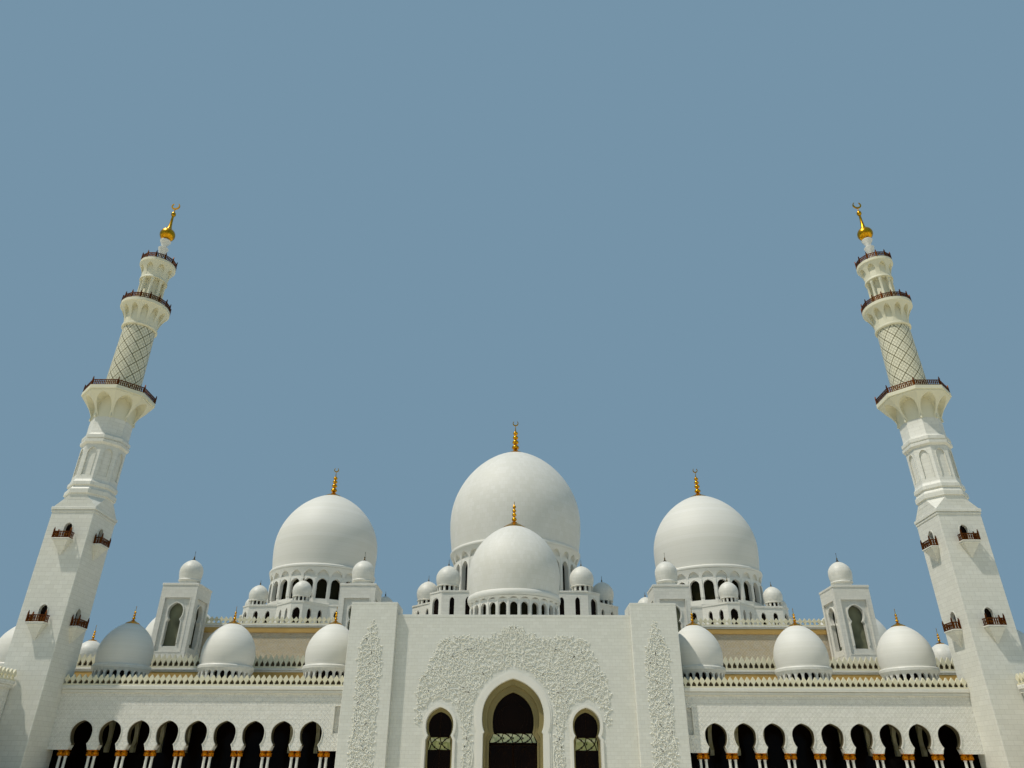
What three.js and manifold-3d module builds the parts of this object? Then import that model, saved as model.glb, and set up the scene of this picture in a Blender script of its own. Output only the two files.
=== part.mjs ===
// Domed mosque with a portal, arcades and two minarets, as a 1:10 model.
// Every size below is in metres of the real building; the last section scales the whole to millimetres.
// X runs to the right along the front, Y runs from the front to the back, Z runs up from the ground.
// Y is 0 on the face of the arcade walls.
import * as THREE from "three";
import { mergeVertices } from "three/addons/utils/BufferGeometryUtils.js";
import { ConvexGeometry } from "three/addons/geometries/ConvexGeometry.js";
import Module from "manifold-3d";

const wasm = await Module();
wasm.setup();

// Scale and joints
const MODEL_MM_PER_METRE = 100;
const BED = 0.003;
// How far a solid runs into the one it is joined to, and how far a cutting solid runs past a face
const SINK = 0.1;
const CLEAR = 1;

// Ground floor and walls
const FLOOR_TOP = 0.3;
const WALL = 1.0;
const ROOF_SLAB = 0.5;
const PARAPET_THICK = 0.35;
const NICHE_DEPTH = 0.4;

// Arcades beside the portal
const BAY = 4.19;
const BAYS = 9;
const FIRST_ARCH_X = 29.35;
const ARCADE_WALL_FOOT = 4.9;
const ARCADE_CORNICE_Z = 12.5;
const ARCADE_TOP = 13.5;
const ARCADE_ROOF_FOOT = 12.8;
const ARCADE_ROOF_TOP = 13.3;
const ARCADE_PARAPET_TOP = 15.05;
const ARCADE_PARAPET_PITCH = 0.85;
const ARCADE_CORNICE_REACH = 0.5;
const PARAPET_SETBACK = 0.1;
const MERLON_VALLEY = 0.4;
const ARCADE_ARCH_STEPS = 2;
const KEYHOLE = {
  foot: 1.6, sill: 4.9, footZ: 4.9, neck: 1.13, neckZ: 5.67, wide: 1.6, wideZ: 7.15, apex: 8.8,
};
const COLUMN_RADIUS = 0.21;
const COLUMN_OFFSET = 0.4;
const PLINTH_TOP = 0.6;
const CAPITAL_FOOT = 4.1;
const PAIR_HALF = 0.77;
const PAIR_HALF_DEPTH = 0.45;
const COLUMN_SIDES = 6;

// Return arcades in front of the minarets
const RETURN_FACE_X = 72;
const RETURN_BAYS = 3;
const RETURN_END = -5.2;
const RETURN_PARAPET_TOP = 14.55;
const OUTER_X = 86.4;

// Portal
const PORTAL_HALF = 18.05;
const PORTAL_WALL = 1.5;
const PORTAL_TOP = 24.0;
const PYLON_OUTER = 25.2;
const PYLON_FRONT = -1.05;
const PYLON_BACK = 4.9;
const PYLON_TOP = 25.65;
const GATE = {
  foot: 4.35, sill: FLOOR_TOP, footZ: 7.2, neck: 4.16, neckZ: 7.5, wide: 4.535, wideZ: 9.4, apex: 14.7,
};
const GATE_FRAME = {
  foot: 5.6, sill: FLOOR_TOP, footZ: 7.2, neck: 5.5, neckZ: 7.5, wide: 5.64, wideZ: 9.4, apex: 15.8,
};
const INNER_GATE = {
  foot: 3.53, sill: FLOOR_TOP, footZ: 6.3, neck: 2.85, neckZ: 7.45, wide: 3.05, wideZ: 9.0, apex: 13.0,
};
const INNER_GATE_BACK = 2.5;
const SIDE_DOOR_X = 10.7;
const SIDE_DOOR = {
  foot: 1.95, sill: FLOOR_TOP, footZ: 6.4, neck: 1.65, neckZ: 7.0, wide: 2.0, wideZ: 8.4, apex: 10.75,
};
const SIDE_FRAME = {
  foot: 2.45, sill: FLOOR_TOP, footZ: 6.6, neck: 2.3, neckZ: 7.0, wide: 2.46, wideZ: 8.4, apex: 11.35,
};
const FRAME_REACH = 0.22;
const GATE_PIECE_HALF = 5.68;
const INNER_GATE_HALF = 5.28;
const INNER_GATE_TOP = 15.5;
const DOOR_ARCH_STEPS = 5;
const GATE_ARCH_STEPS = 6;

// Doors of the gate
const LEAF_HINGE_X = 3.38;
const LEAF_Y = 2.41;
const LEAF_THICK = 0.12;
const LEAF_EDGE = 0.06;
const LEAF_MEETING_GAP = 0.06;
const LEAF_FOOT = 0.36;
const LEAF_TOP = 5.93;
const TRANSOM_FOOT = 6.0;
const TRANSOM_TOP = 6.2;
const TRANSOM_FRONT = 2.3;
const PIN_RADIUS = 0.05;
const PIN_SIDES = 8;
const GATE_GLASS_HALF = 3.4;
const GATE_GLASS_BACK = 2.6;
const GLASS_LAP = 0.4;
const SIDE_GLASS_THICK = 0.12;

// Hall, lower storey and upper storey
const LOWER_FRONT = 14;
const LOWER_BACK = 102;
const LOWER_CORNICE_Z = 17.1;
const LOWER_TOP = 17.7;
const LOWER_PARAPET_TOP = 19.9;
const UPPER_HALF = 66.3;
const UPPER_FRONT = 28.5;
const UPPER_BACK = 88;
const UPPER_CORNICE_Z = 26.9;
const UPPER_TOP = 27.5;
const UPPER_PARAPET_TOP = 28.9;
const MERLON_POINT = 0.5;
const CORNICE_REACH = 0.45;
const NICHE = { foot: 1.6, sill: 2.5, wide: 1.6, wideZ: 8.4, apex: 10.6 };
const NICHE_PITCH = 5 * BAY;
const NICHE_END = 6;
const POINTED_ARCH_STEPS = 1;
const HALL_CENTRE_Y = 58;

// Large domes: drum, ring, shell and finial
const DOME_POINTEDNESS = 1.24;
const DOME_STEPS = 6;
const SMALL_DOME_STEPS = 4;
const HOLLOW_STEPS = 3;
const FINIAL_SIDES = 6;
const EYE_SIDES = 14;
const RING_FLARE = 1.3;
const MAIN = {
  x: 0, y: HALL_CENTRE_Y, drum: 14.6, drumInner: 13.4, foot: 37.0, ring: 15.7, ringZ: 48.2, springZ: 49.0,
  base: 15.3, wide: 16.0, wideZ: 56.7, top: 75.6, tip: 85.1, shell: 0.8, sides: 28, disc: 1.5, windows: 28,
  window: { foot: 1.05, sill: 38.2, wide: 1.05, wideZ: 42.4, apex: 44.1 },
};
const SIDE = {
  x: 45.75, y: 57, drum: 11.6, drumInner: 10.6, foot: 34.7, ring: 12.3, ringZ: 43.0, springZ: 43.8,
  base: 11.7, wide: 12.15, wideZ: 49.6, top: 63.7, tip: 71.3, shell: 0.7, sides: 24, disc: 1.3, windows: 24,
  window: { foot: 1.0, sill: 36.6, wide: 1.0, wideZ: 39.2, apex: 40.5 },
};
const PORTAL_DOME = {
  x: 0, y: 14, drum: 7.6, drumInner: 6.8, foot: 24.0, ring: 8.2, ringZ: 28.7, springZ: 29.5,
  base: 7.8, wide: 8.15, wideZ: 33.2, top: 42.6, tip: 47.3, shell: 0.5, sides: 20, disc: 1.1, windows: 26,
};
const END_DOME = {
  x: 77, drum: 8.0, ring: 8.35, ringZ: 23.4, springZ: 24.2, base: 7.8, wide: 8.3, wideZ: 28.4,
  top: 37.2, tip: 41.5, sides: 16, disc: 1.1, innerFoot: 7.0, innerWide: 6.6, innerTop: 35.6, innerSides: 8,
};

// Podiums with their eight turrets
const TURRETS = 8;
const MAIN_PODIUM = { top: 37.0, apothem: 18.2, turretRing: 20.6, turretHalf: 3.2, dome: 2.65, domeZ: 39.6 };
const SIDE_PODIUM = { top: 34.7, apothem: 13.4, turretRing: 15.3, turretHalf: 2.4, dome: 2.05, domeZ: 37.0 };
const TURRET_SINK = 0.4;

// Domes over the arcades
const ARCADE_DOME = {
  y: 7, drum: 3.85, ring: 4.35, ringZ: 16.4, springZ: 17.1, base: 3.95, wide: 4.17, wideZ: 18.8,
  top: 23.9, tip: 26.2, sides: 12, disc: 0.9,
  innerFoot: 3.2, innerWide: 3.2, innerWideZ: 19.2, innerTop: 22.0, innerSides: 6,
};
const ARCADE_DOME_BAYS = [0, 4, 8];
const RETURN_DOME_BAY = 12;

// Window towers on the lower roof
const TOWER_HALF = 3.33;
const TOWER_FRONT = 21.3;
const TOWER_TOP = 33.7;
const TOWER_WALL = 0.9;
const TOWER_PANEL_HALF = 2.35;
const TOWER_PANEL_TOP = 31.0;
const TOWER_PANEL_DEPTH = 0.3;
const TOWER_KEYHOLE = {
  foot: 1.25, sill: 21.5, footZ: 25.0, neck: 1.0, neckZ: 26.0, wide: 1.35, wideZ: 27.9, apex: 30.1,
};
const TOWER_PANEL_FOOT = 18.1;
const TOWER_DOME = { drum: 1.75, springZ: 35.0, base: 1.95, wide: 2.15, wideZ: 36.6, top: 39.2, tip: 41.3 };
const END_TURRET = {
  x: 76.6, y: 21, drum: 2.1, springZ: 20.4, base: 2.15, wide: 2.35, wideZ: 21.6, top: 24.3, tip: 26.3,
};
const TURRET_SIDES = 8;
const SPIKE_RADIUS = 0.14;

// Minarets
const MINARET_X = 70.7;
const MINARET_Y = -1.6;
const SHAFT_HALF = 3.4;
const SHAFT_CORNICE_HALF = 3.6;
const SHAFT_CORNICE_FOOT = 38.8;
const SHAFT_TOP = 39.7;
const BALCONY_SLABS = [21.6, 34.3];
const BALCONY_HALF = 1.7;
const BALCONY_REACH = 1.5;
const BALCONY_SLAB = 0.35;
const BALCONY_CORBEL = 2.0;
const BALCONY_DOOR = { half: 0.62, springing: 2.0, crown: 2.75, depth: 0.6 };
const OCTAGON_SIDES = 8;
const BROACH_RADIUS = 3.45;
const BROACH_TOP = 41.9;
const OCTAGON_NICHE = { foot: 0.7, sill: 45.4, wide: 0.7, wideZ: 49.2, apex: 50.3 };
const OCTAGON_NICHE_FLOOR = 3.0;
const OCTAGON_BALCONY = 5.5;
const OCTAGON_TOP = 61.0;
const ROUND_SIDES = 16;
const ROUND_BALCONY = 4.3;
const ROUND_TOP = 80.3;
const LANTERN_FOOT_TOP = 80.7;
const LANTERN_CAPITAL_FOOT = 86.4;
const LANTERN_SIDES = 12;
const LANTERN_COLUMNS = 8;
const LANTERN_COLUMN_SIDES = 4;
const LANTERN_COLUMN_RADIUS = 0.28;
const LANTERN_COLUMN_RING = 2.05;
const LANTERN_BALCONY = 3.25;
const LANTERN_TOP = 90.5;
const RAIL_HEIGHT = 1.1;
const RAIL_THICK = 0.12;
const FINIAL_TOP = 107;

// Finishes
const marble = { color: 0xd8d6cc, roughness: 0.45, metalness: 0 };
const carvedStone = { color: 0xd6cfa8, roughness: 0.6, metalness: 0 };
const darkGlass = { color: 0x14100c, roughness: 0.1, metalness: 0.1 };

// Closed solid from a three.js geometry, with its shared corners merged
function solid(geometry) {
  const bare = geometry.clone();
  bare.deleteAttribute("normal");
  bare.deleteAttribute("uv");
  const merged = mergeVertices(bare, 1e-4);
  const corners = [];
  for (let i = 0; i < merged.index.count; i += 3) {
    const [a, b, c] = [0, 1, 2].map((k) => merged.index.getX(i + k));
    if (a !== b && b !== c && a !== c) corners.push(a, b, c);
  }
  return new wasm.Manifold(
    new wasm.Mesh({
      numProp: 3,
      vertProperties: new Float32Array(merged.attributes.position.array),
      triVerts: new Uint32Array(corners),
    }),
  );
}

function join(solids) {
  return solids.reduce((whole, part) => whole.add(part));
}

function cut(body, tools) {
  return tools.length ? body.subtract(join(tools)) : body;
}

const building = new THREE.Group();

// Named mesh of one finished solid
function place(name, body, finish) {
  const made = body.getMesh();
  const geometry = new THREE.BufferGeometry();
  geometry.setAttribute("position", new THREE.BufferAttribute(made.vertProperties.slice(), 3));
  geometry.setIndex(new THREE.BufferAttribute(made.triVerts.slice(), 1));
  geometry.computeVertexNormals();
  const mesh = new THREE.Mesh(geometry, new THREE.MeshStandardMaterial(finish));
  mesh.name = name;
  building.add(mesh);
  return mesh;
}

// Squared block between two corners, whichever way round each pair is given
function block(xa, xb, ya, yb, za, zb) {
  const geometry = new THREE.BoxGeometry(Math.abs(xb - xa), Math.abs(yb - ya), Math.abs(zb - za));
  geometry.translate((xa + xb) / 2, (ya + yb) / 2, (za + zb) / 2);
  return solid(geometry);
}

// Turned body round a vertical axis from a list of [radius, height]; it starts and ends on the axis
function turned(profile, sides, x = 0, y = 0, firstCorner = 0) {
  const points = profile.map(([radius, height]) => new THREE.Vector2(radius, height));
  const geometry = new THREE.LatheGeometry(points, sides, firstCorner);
  geometry.rotateX(Math.PI / 2);
  geometry.translate(x, y, 0);
  return solid(geometry);
}

// Upright slab cut to an outline in X and Z, between two depths
function panel(outline, front, back) {
  const shape = new THREE.Shape(outline);
  const geometry = new THREE.ExtrudeGeometry(shape, { depth: back - front, bevelEnabled: false });
  geometry.rotateX(Math.PI / 2);
  geometry.translate(0, back, 0);
  return geometry;
}

function outlinePoint(x, z) {
  return new THREE.Vector2(x, z);
}

// Arch from its left foot over the crown to its right foot; a neck makes it a keyhole
function archOutline(arch, centre, steps) {
  const rise = arch.apex - arch.wideZ;
  const half = new THREE.Path();
  half.moveTo(arch.foot, arch.sill);
  if (arch.neck) {
    if (arch.footZ > arch.sill) half.lineTo(arch.foot, arch.footZ);
    half.lineTo(arch.neck, arch.neckZ);
    half.quadraticCurveTo(arch.wide, arch.neckZ + 0.35 * (arch.wideZ - arch.neckZ), arch.wide, arch.wideZ);
  } else {
    half.lineTo(arch.wide, arch.wideZ);
  }
  const shoulderZ = arch.wideZ + 0.58 * rise;
  const crownZ = arch.apex - 0.1 * rise;
  half.bezierCurveTo(arch.wide, shoulderZ, 0.5 * arch.wide, crownZ, 0, arch.apex);
  const right = half.getPoints(steps);
  const left = right.slice(0, -1).map((p) => outlinePoint(centre - p.x, p.y));
  return [...left, ...right.reverse().map((p) => outlinePoint(centre + p.x, p.y))];
}

// Wall along X whose foot is notched by arches
function archedWall(xLow, xHigh, zLow, zHigh, centres, arch, front, back, steps) {
  const outline = [outlinePoint(xLow, zLow)];
  for (const centre of [...centres].sort((a, b) => a - b)) outline.push(...archOutline(arch, centre, steps));
  outline.push(outlinePoint(xHigh, zLow), outlinePoint(xHigh, zHigh), outlinePoint(xLow, zHigh));
  return panel(outline, front, back);
}

// Parapet along X with a row of pointed merlons
function merlonPanel(xLow, xHigh, zLow, zHigh, pitch, front) {
  const count = Math.round((xHigh - xLow) / pitch);
  const step = (xHigh - xLow) / count;
  const valley = zLow + MERLON_VALLEY * (zHigh - zLow);
  const outline = [outlinePoint(xLow, zLow), outlinePoint(xHigh, zLow), outlinePoint(xHigh, valley)];
  for (let i = 1; i <= count; i++) {
    outline.push(outlinePoint(xHigh - (i - 0.5) * step, zHigh));
    outline.push(outlinePoint(xHigh - i * step, valley));
  }
  return panel(outline, front, front + PARAPET_THICK);
}

// Rising curve of a dome from its springing to its crown
function domeCurve(dome, steps) {
  const points = [[dome.base, dome.springZ]];
  const rise = dome.top - dome.wideZ;
  for (let i = 0; i <= steps; i++) {
    const angle = (Math.PI / 2) * (i / steps);
    const radius = dome.wide * Math.max(Math.cos(angle), 0) ** DOME_POINTEDNESS;
    points.push([radius, dome.wideZ + rise * Math.sin(angle)]);
  }
  points[points.length - 1] = [0, dome.top];
  return points;
}

// Finial of turned beads on a flat disc, on the crown of a dome
function finial(dome, x, y) {
  const height = dome.tip - dome.top;
  const discFoot = dome.top - 0.2 * dome.disc;
  const discTop = dome.top + 0.04 * height;
  const bead = [0.36 * dome.disc, dome.top + 0.2 * height];
  const profile = [[0, discFoot], [dome.disc, discFoot], [dome.disc, discTop], bead, [0, dome.tip]];
  return turned(profile, FINIAL_SIDES, x, y);
}

// Floor slab under the hall, the arcades and the portal
function floor() {
  const returnFront = RETURN_END - RETURN_BAYS * BAY;
  const minaretFoot = MINARET_X - SHAFT_HALF;
  const xs = [
    [0, LOWER_BACK], [OUTER_X, LOWER_BACK], [OUTER_X, returnFront], [RETURN_FACE_X, returnFront],
    [RETURN_FACE_X, RETURN_END], [minaretFoot, RETURN_END], [minaretFoot, 0],
    [PYLON_OUTER, 0], [PYLON_OUTER, PYLON_FRONT], [PORTAL_HALF, PYLON_FRONT],
    [PORTAL_HALF, -FRAME_REACH], [0, -FRAME_REACH],
  ];
  const right = xs.map(([x, y]) => outlinePoint(x, y));
  const left = xs.slice(1, -1).reverse().map(([x, y]) => outlinePoint(-x, y));
  const shape = new THREE.Shape([...right, ...left]);
  const geometry = new THREE.ExtrudeGeometry(shape, { depth: FLOOR_TOP - BED, bevelEnabled: false });
  place("floor", solid(geometry), marble);
}

// Arcade wall with nine keyhole arches and its cornice, on one side of the portal
function arcadeWall(side, name) {
  const near = PYLON_OUTER + BED;
  const far = MINARET_X - SHAFT_HALF - BED;
  const [low, high] = side < 0 ? [-far, -near] : [near, far];
  const centres = Array.from({ length: BAYS }, (_, i) => side * (FIRST_ARCH_X + BAY * i));
  const wall = solid(
    archedWall(low, high, ARCADE_WALL_FOOT, ARCADE_TOP, centres, KEYHOLE, 0, WALL, ARCADE_ARCH_STEPS),
  );
  const cornice = block(low, high, -ARCADE_CORNICE_REACH, SINK, ARCADE_CORNICE_Z, ARCADE_TOP);
  place(name, join([wall, cornice]), marble);
}

// Twin columns on a low plinth, with a shared capital under each pier of the wall
function columnPair(x, y) {
  const capital = block(
    x - PAIR_HALF, x + PAIR_HALF, y - PAIR_HALF_DEPTH, y + PAIR_HALF_DEPTH,
    CAPITAL_FOOT, ARCADE_WALL_FOOT - BED,
  );
  const foot = PLINTH_TOP - SINK;
  const head = CAPITAL_FOOT + SINK;
  const shaft = [[0, foot], [COLUMN_RADIUS, foot], [COLUMN_RADIUS, head], [0, head]];
  const shafts = [-COLUMN_OFFSET, COLUMN_OFFSET].map((offset) => turned(shaft, COLUMN_SIDES, x + offset, y));
  return join([capital, ...shafts]);
}

function colonnade(side, name) {
  const near = PYLON_OUTER + BED;
  const far = MINARET_X - SHAFT_HALF - BED;
  const parts = [block(side * near, side * far, 0, WALL, FLOOR_TOP, PLINTH_TOP)];
  for (let i = 0; i <= BAYS; i++) {
    parts.push(columnPair(side * (FIRST_ARCH_X + BAY * (i - 0.5)), WALL / 2));
  }
  place(name, join(parts), marble);
}

// Drum, ring, shell and finial of one arcade dome, and the hollow under it
function arcadeDome(x, y) {
  const dome = ARCADE_DOME;
  const foot = ARCADE_ROOF_TOP - SINK;
  const profile = [
    [0, foot], [dome.drum, foot], [dome.drum, dome.ringZ], [dome.ring, dome.ringZ],
    [dome.ring, dome.springZ], ...domeCurve(dome, SMALL_DOME_STEPS),
  ];
  const hollowFoot = ARCADE_ROOF_FOOT - CLEAR;
  const hollow = [
    [0, hollowFoot], [dome.innerFoot, hollowFoot], [dome.innerWide, dome.innerWideZ], [0, dome.innerTop],
  ];
  return {
    body: join([turned(profile, dome.sides, x, y), finial(dome, x, y)]),
    hollow: turned(hollow, dome.innerSides, x, y),
  };
}

// Arcade roof with its three domes and the nook behind the pylon
function arcadeRoof(side, name) {
  const near = PYLON_OUTER + BED;
  const far = RETURN_FACE_X - BED;
  const slab = block(
    side * near, side * far, WALL + BED, LOWER_FRONT - BED, ARCADE_ROOF_FOOT, ARCADE_ROOF_TOP,
  );
  const nook = block(
    side * (PORTAL_HALF + BED), side * (near + SINK), PYLON_BACK + BED, LOWER_FRONT - BED,
    ARCADE_ROOF_FOOT, ARCADE_ROOF_TOP,
  );
  const minaret = block(
    side * (MINARET_X - SHAFT_HALF - BED), side * (MINARET_X + SHAFT_HALF + BED),
    MINARET_Y - SHAFT_HALF, MINARET_Y + SHAFT_HALF + BED, 0, PORTAL_TOP,
  );
  const domes = ARCADE_DOME_BAYS.map((bay) => arcadeDome(side * (FIRST_ARCH_X + BAY * bay), ARCADE_DOME.y));
  const whole = join([slab, nook, ...domes.map((d) => d.body)]);
  place(name, cut(whole, [minaret, ...domes.map((d) => d.hollow)]), marble);
}

function arcadeParapet(side, name) {
  const near = PYLON_OUTER + BED;
  const far = MINARET_X - SHAFT_HALF - BED;
  const [low, high] = side < 0 ? [-far, -near] : [near, far];
  const front = PARAPET_SETBACK - ARCADE_CORNICE_REACH;
  const geometry = merlonPanel(low, high, ARCADE_TOP + BED, ARCADE_PARAPET_TOP, ARCADE_PARAPET_PITCH, front);
  place(name, solid(geometry), carvedStone);
}

// Kerb ring that carries the corner dome on the return roof
function domeKerb(x) {
  const foot = ARCADE_ROOF_TOP - SINK;
  const kerb = [[0, foot], [ARCADE_DOME.ring, foot], [ARCADE_DOME.ring, ARCADE_TOP], [0, ARCADE_TOP]];
  return turned(kerb, ARCADE_DOME.sides, x, ARCADE_DOME.y);
}

// Return arcade toward the court: arched wall, outer wall, end walls, roof and corner dome in one mass
function returnArcade(side, name) {
  const front = RETURN_END - RETURN_BAYS * BAY;
  const innerEnd = RETURN_END - BED;
  const face = archedWall(
    front, innerEnd, FLOOR_TOP, ARCADE_TOP,
    Array.from({ length: RETURN_BAYS }, (_, i) => front + BAY * (i + 0.5)),
    { ...KEYHOLE, sill: FLOOR_TOP }, 0, WALL, ARCADE_ARCH_STEPS,
  );
  const court = side * RETURN_FACE_X;
  face.rotateZ(Math.PI / 2);
  face.translate(side < 0 ? court : court + WALL, 0, 0);
  const outer = side * OUTER_X;
  const back = LOWER_FRONT - BED;
  const cornice = court - side * ARCADE_CORNICE_REACH;
  const parapet = cornice + side * PARAPET_SETBACK;
  const domeX = side * (FIRST_ARCH_X + BAY * RETURN_DOME_BAY);
  const parts = [
    solid(face),
    block(cornice, court + side * SINK, front, innerEnd, ARCADE_CORNICE_Z, ARCADE_TOP),
    block(parapet, parapet + side * PARAPET_THICK, front, innerEnd, ARCADE_TOP - SINK, RETURN_PARAPET_TOP),
    block(court, outer, front, back, ARCADE_ROOF_FOOT, ARCADE_ROOF_TOP),
    block(outer - side * WALL, outer, front, back, FLOOR_TOP, RETURN_PARAPET_TOP),
    block(court, outer, front, front + WALL, FLOOR_TOP, RETURN_PARAPET_TOP),
    domeKerb(domeX),
  ];
  const dome = arcadeDome(domeX, ARCADE_DOME.y);
  const minaret = block(
    side * (MINARET_X - SHAFT_HALF), side * (MINARET_X + SHAFT_HALF + BED),
    MINARET_Y - SHAFT_HALF - BED, MINARET_Y + SHAFT_HALF + BED, 0, PORTAL_TOP,
  );
  place(name, cut(join([...parts, dome.body]), [minaret, dome.hollow]), marble);
}

// Round hole under a dome, between two heights
function eye(dome, x, foot, top) {
  const low = foot - CLEAR;
  const high = top + CLEAR;
  const profile = [[0, low], [dome.drumInner, low], [dome.drumInner, high], [0, high]];
  return turned(profile, EYE_SIDES, x, dome.y);
}

// Slab between two arch outlines, as the raised frame round an opening
function frameRing(outer, inner, centre, steps) {
  const ring = solid(panel(archOutline(outer, centre, steps), -FRAME_REACH, SINK));
  const hole = solid(panel(archOutline(inner, centre, steps), -CLEAR, CLEAR));
  return cut(ring, [hole]);
}

// Portal wall: a side part with its doorway, and the middle part with the gate arch
function portalSideWall(side, name) {
  const [low, high] = side < 0
    ? [-PORTAL_HALF + BED, -GATE_PIECE_HALF - BED]
    : [GATE_PIECE_HALF + BED, PORTAL_HALF - BED];
  const centre = side * SIDE_DOOR_X;
  const wall = solid(
    archedWall(low, high, FLOOR_TOP, PORTAL_TOP, [centre], SIDE_DOOR, 0, PORTAL_WALL, DOOR_ARCH_STEPS),
  );
  place(name, join([wall, frameRing(SIDE_FRAME, SIDE_DOOR, centre, DOOR_ARCH_STEPS)]), marble);
}

function portalMiddleWall() {
  const half = GATE_PIECE_HALF;
  const wall = solid(
    archedWall(-half, half, FLOOR_TOP, PORTAL_TOP, [0], GATE, 0, PORTAL_WALL, GATE_ARCH_STEPS),
  );
  place("portal_gate_wall", join([wall, frameRing(GATE_FRAME, GATE, 0, GATE_ARCH_STEPS)]), marble);
}

function innerGateArch() {
  const half = INNER_GATE_HALF;
  const geometry = archedWall(
    -half, half, FLOOR_TOP, INNER_GATE_TOP, [0], INNER_GATE,
    PORTAL_WALL + BED, INNER_GATE_BACK, GATE_ARCH_STEPS,
  );
  place("inner_gate_arch", solid(geometry), marble);
}

function pylon(side, name) {
  const shaft = block(
    side * PORTAL_HALF, side * (PYLON_OUTER - BED), PYLON_FRONT, PYLON_BACK, FLOOR_TOP, PYLON_TOP,
  );
  place(name, shaft, marble);
}

// Side walls and roof behind the portal front, open under the dome
function portalPorch() {
  const y0 = PORTAL_WALL + BED;
  const y1 = UPPER_FRONT - BED;
  const half = PORTAL_HALF - BED;
  const roofFoot = PORTAL_TOP - ROOF_SLAB;
  const parts = [
    block(-half, -half + WALL, y0, y1, FLOOR_TOP, roofFoot + SINK),
    block(half, half - WALL, y0, y1, FLOOR_TOP, roofFoot + SINK),
    block(-half, half, y0, y1, roofFoot, PORTAL_TOP - BED),
  ];
  place("portal_porch", cut(join(parts), [eye(PORTAL_DOME, 0, roofFoot, PORTAL_TOP)]), marble);
}

// Door leaf hung on a pin at its foot and its head
function doorLeaf(side, name) {
  const slab = block(
    side * (LEAF_MEETING_GAP / 2), side * (LEAF_HINGE_X + LEAF_EDGE),
    LEAF_Y - LEAF_THICK / 2, LEAF_Y + LEAF_THICK / 2, LEAF_FOOT, LEAF_TOP,
  );
  const pin = turned(
    [[0, FLOOR_TOP], [PIN_RADIUS, FLOOR_TOP], [PIN_RADIUS, TRANSOM_FOOT - BED], [0, TRANSOM_FOOT - BED]],
    PIN_SIDES, side * LEAF_HINGE_X, LEAF_Y,
  );
  place(name, join([slab, pin]), darkGlass);
}

function gateScreen() {
  const half = INNER_GATE.foot - BED;
  const transom = block(-half, half, TRANSOM_FRONT, GATE_GLASS_BACK, TRANSOM_FOOT, TRANSOM_TOP);
  const glass = block(
    -GATE_GLASS_HALF, GATE_GLASS_HALF, INNER_GATE_BACK + BED, GATE_GLASS_BACK,
    TRANSOM_FOOT, INNER_GATE.apex + GLASS_LAP,
  );
  place("gate_screen", join([transom, glass]), darkGlass);
}

function sideScreen(side, name) {
  const half = SIDE_DOOR.wide + GLASS_LAP;
  const x = side * SIDE_DOOR_X;
  const glass = block(
    x - half, x + half, PORTAL_WALL + BED, PORTAL_WALL + SIDE_GLASS_THICK,
    FLOOR_TOP, SIDE_DOOR.apex + GLASS_LAP,
  );
  place(name, glass, darkGlass);
}

// Lower storey of the hall
function lowerFrontWall(side, name) {
  const x0 = side * (PORTAL_HALF + BED);
  const x1 = side * OUTER_X;
  place(name, join([
    block(x0, x1, LOWER_FRONT, LOWER_FRONT + WALL, FLOOR_TOP, LOWER_TOP),
    block(x0, x1, LOWER_FRONT - CORNICE_REACH, LOWER_FRONT + SINK, LOWER_CORNICE_Z, LOWER_TOP),
  ]), marble);
}

function lowerParapet(side, name) {
  const near = PORTAL_HALF + BED;
  const front = LOWER_FRONT - CORNICE_REACH + PARAPET_SETBACK;
  const band = block(
    side * near, side * OUTER_X, front, front + PARAPET_THICK,
    LOWER_TOP + BED, LOWER_PARAPET_TOP - MERLON_POINT,
  );
  place(name, band, carvedStone);
}

// Side and back walls of one storey with blind pointed niches, a cornice and a parapet
function rearWalls(name, half, front, back, foot, corniceZ, top, parapetTop, niche) {
  const out = half + CORNICE_REACH;
  const rear = back + CORNICE_REACH;
  const edge = out - PARAPET_SETBACK;
  const rearEdge = rear - PARAPET_SETBACK;
  const parts = [
    block(-half, half, back - WALL, back, foot, top),
    block(-out, out, back - SINK, rear, corniceZ, top),
    block(-edge, edge, rearEdge - PARAPET_THICK, rearEdge, top - SINK, parapetTop),
  ];
  for (const side of [-1, 1]) {
    parts.push(
      block(side * half, side * (half - WALL), front, back, foot, top),
      block(side * out, side * (half - SINK), front, rear, corniceZ, top),
      block(side * edge, side * (edge - PARAPET_THICK), front, rearEdge, top - SINK, parapetTop),
    );
  }
  if (!niche) {
    place(name, join(parts), marble);
    return;
  }
  const tools = [];
  const across = Math.floor((half - NICHE_END) / NICHE_PITCH);
  for (let i = -across; i <= across; i++) {
    const outline = archOutline(niche, i * NICHE_PITCH, POINTED_ARCH_STEPS);
    tools.push(solid(panel(outline, back - NICHE_DEPTH, back + CLEAR)));
  }
  const middle = (front + back) / 2;
  const along = Math.floor(((back - front) / 2 - NICHE_END) / NICHE_PITCH);
  for (let i = -along; i <= along; i++) {
    for (const side of [-1, 1]) {
      const recess = panel(archOutline(niche, 0, POINTED_ARCH_STEPS), -NICHE_DEPTH, CLEAR);
      recess.rotateZ((-side * Math.PI) / 2);
      recess.translate(side * half, middle + i * NICHE_PITCH, 0);
      tools.push(solid(recess));
    }
  }
  place(name, cut(join(parts), tools), marble);
}

// Small solid dome on a low drum, drawn out to the tip of its spike
function smallTurret(spec, x, y, foot) {
  const curve = domeCurve(spec, 2).slice(1, -1);
  return turned([
    [0, foot - SINK], [spec.drum, foot - SINK], [spec.drum, spec.springZ], ...curve,
    [SPIKE_RADIUS, spec.top], [0, spec.tip],
  ], TURRET_SIDES, x, y);
}

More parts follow.
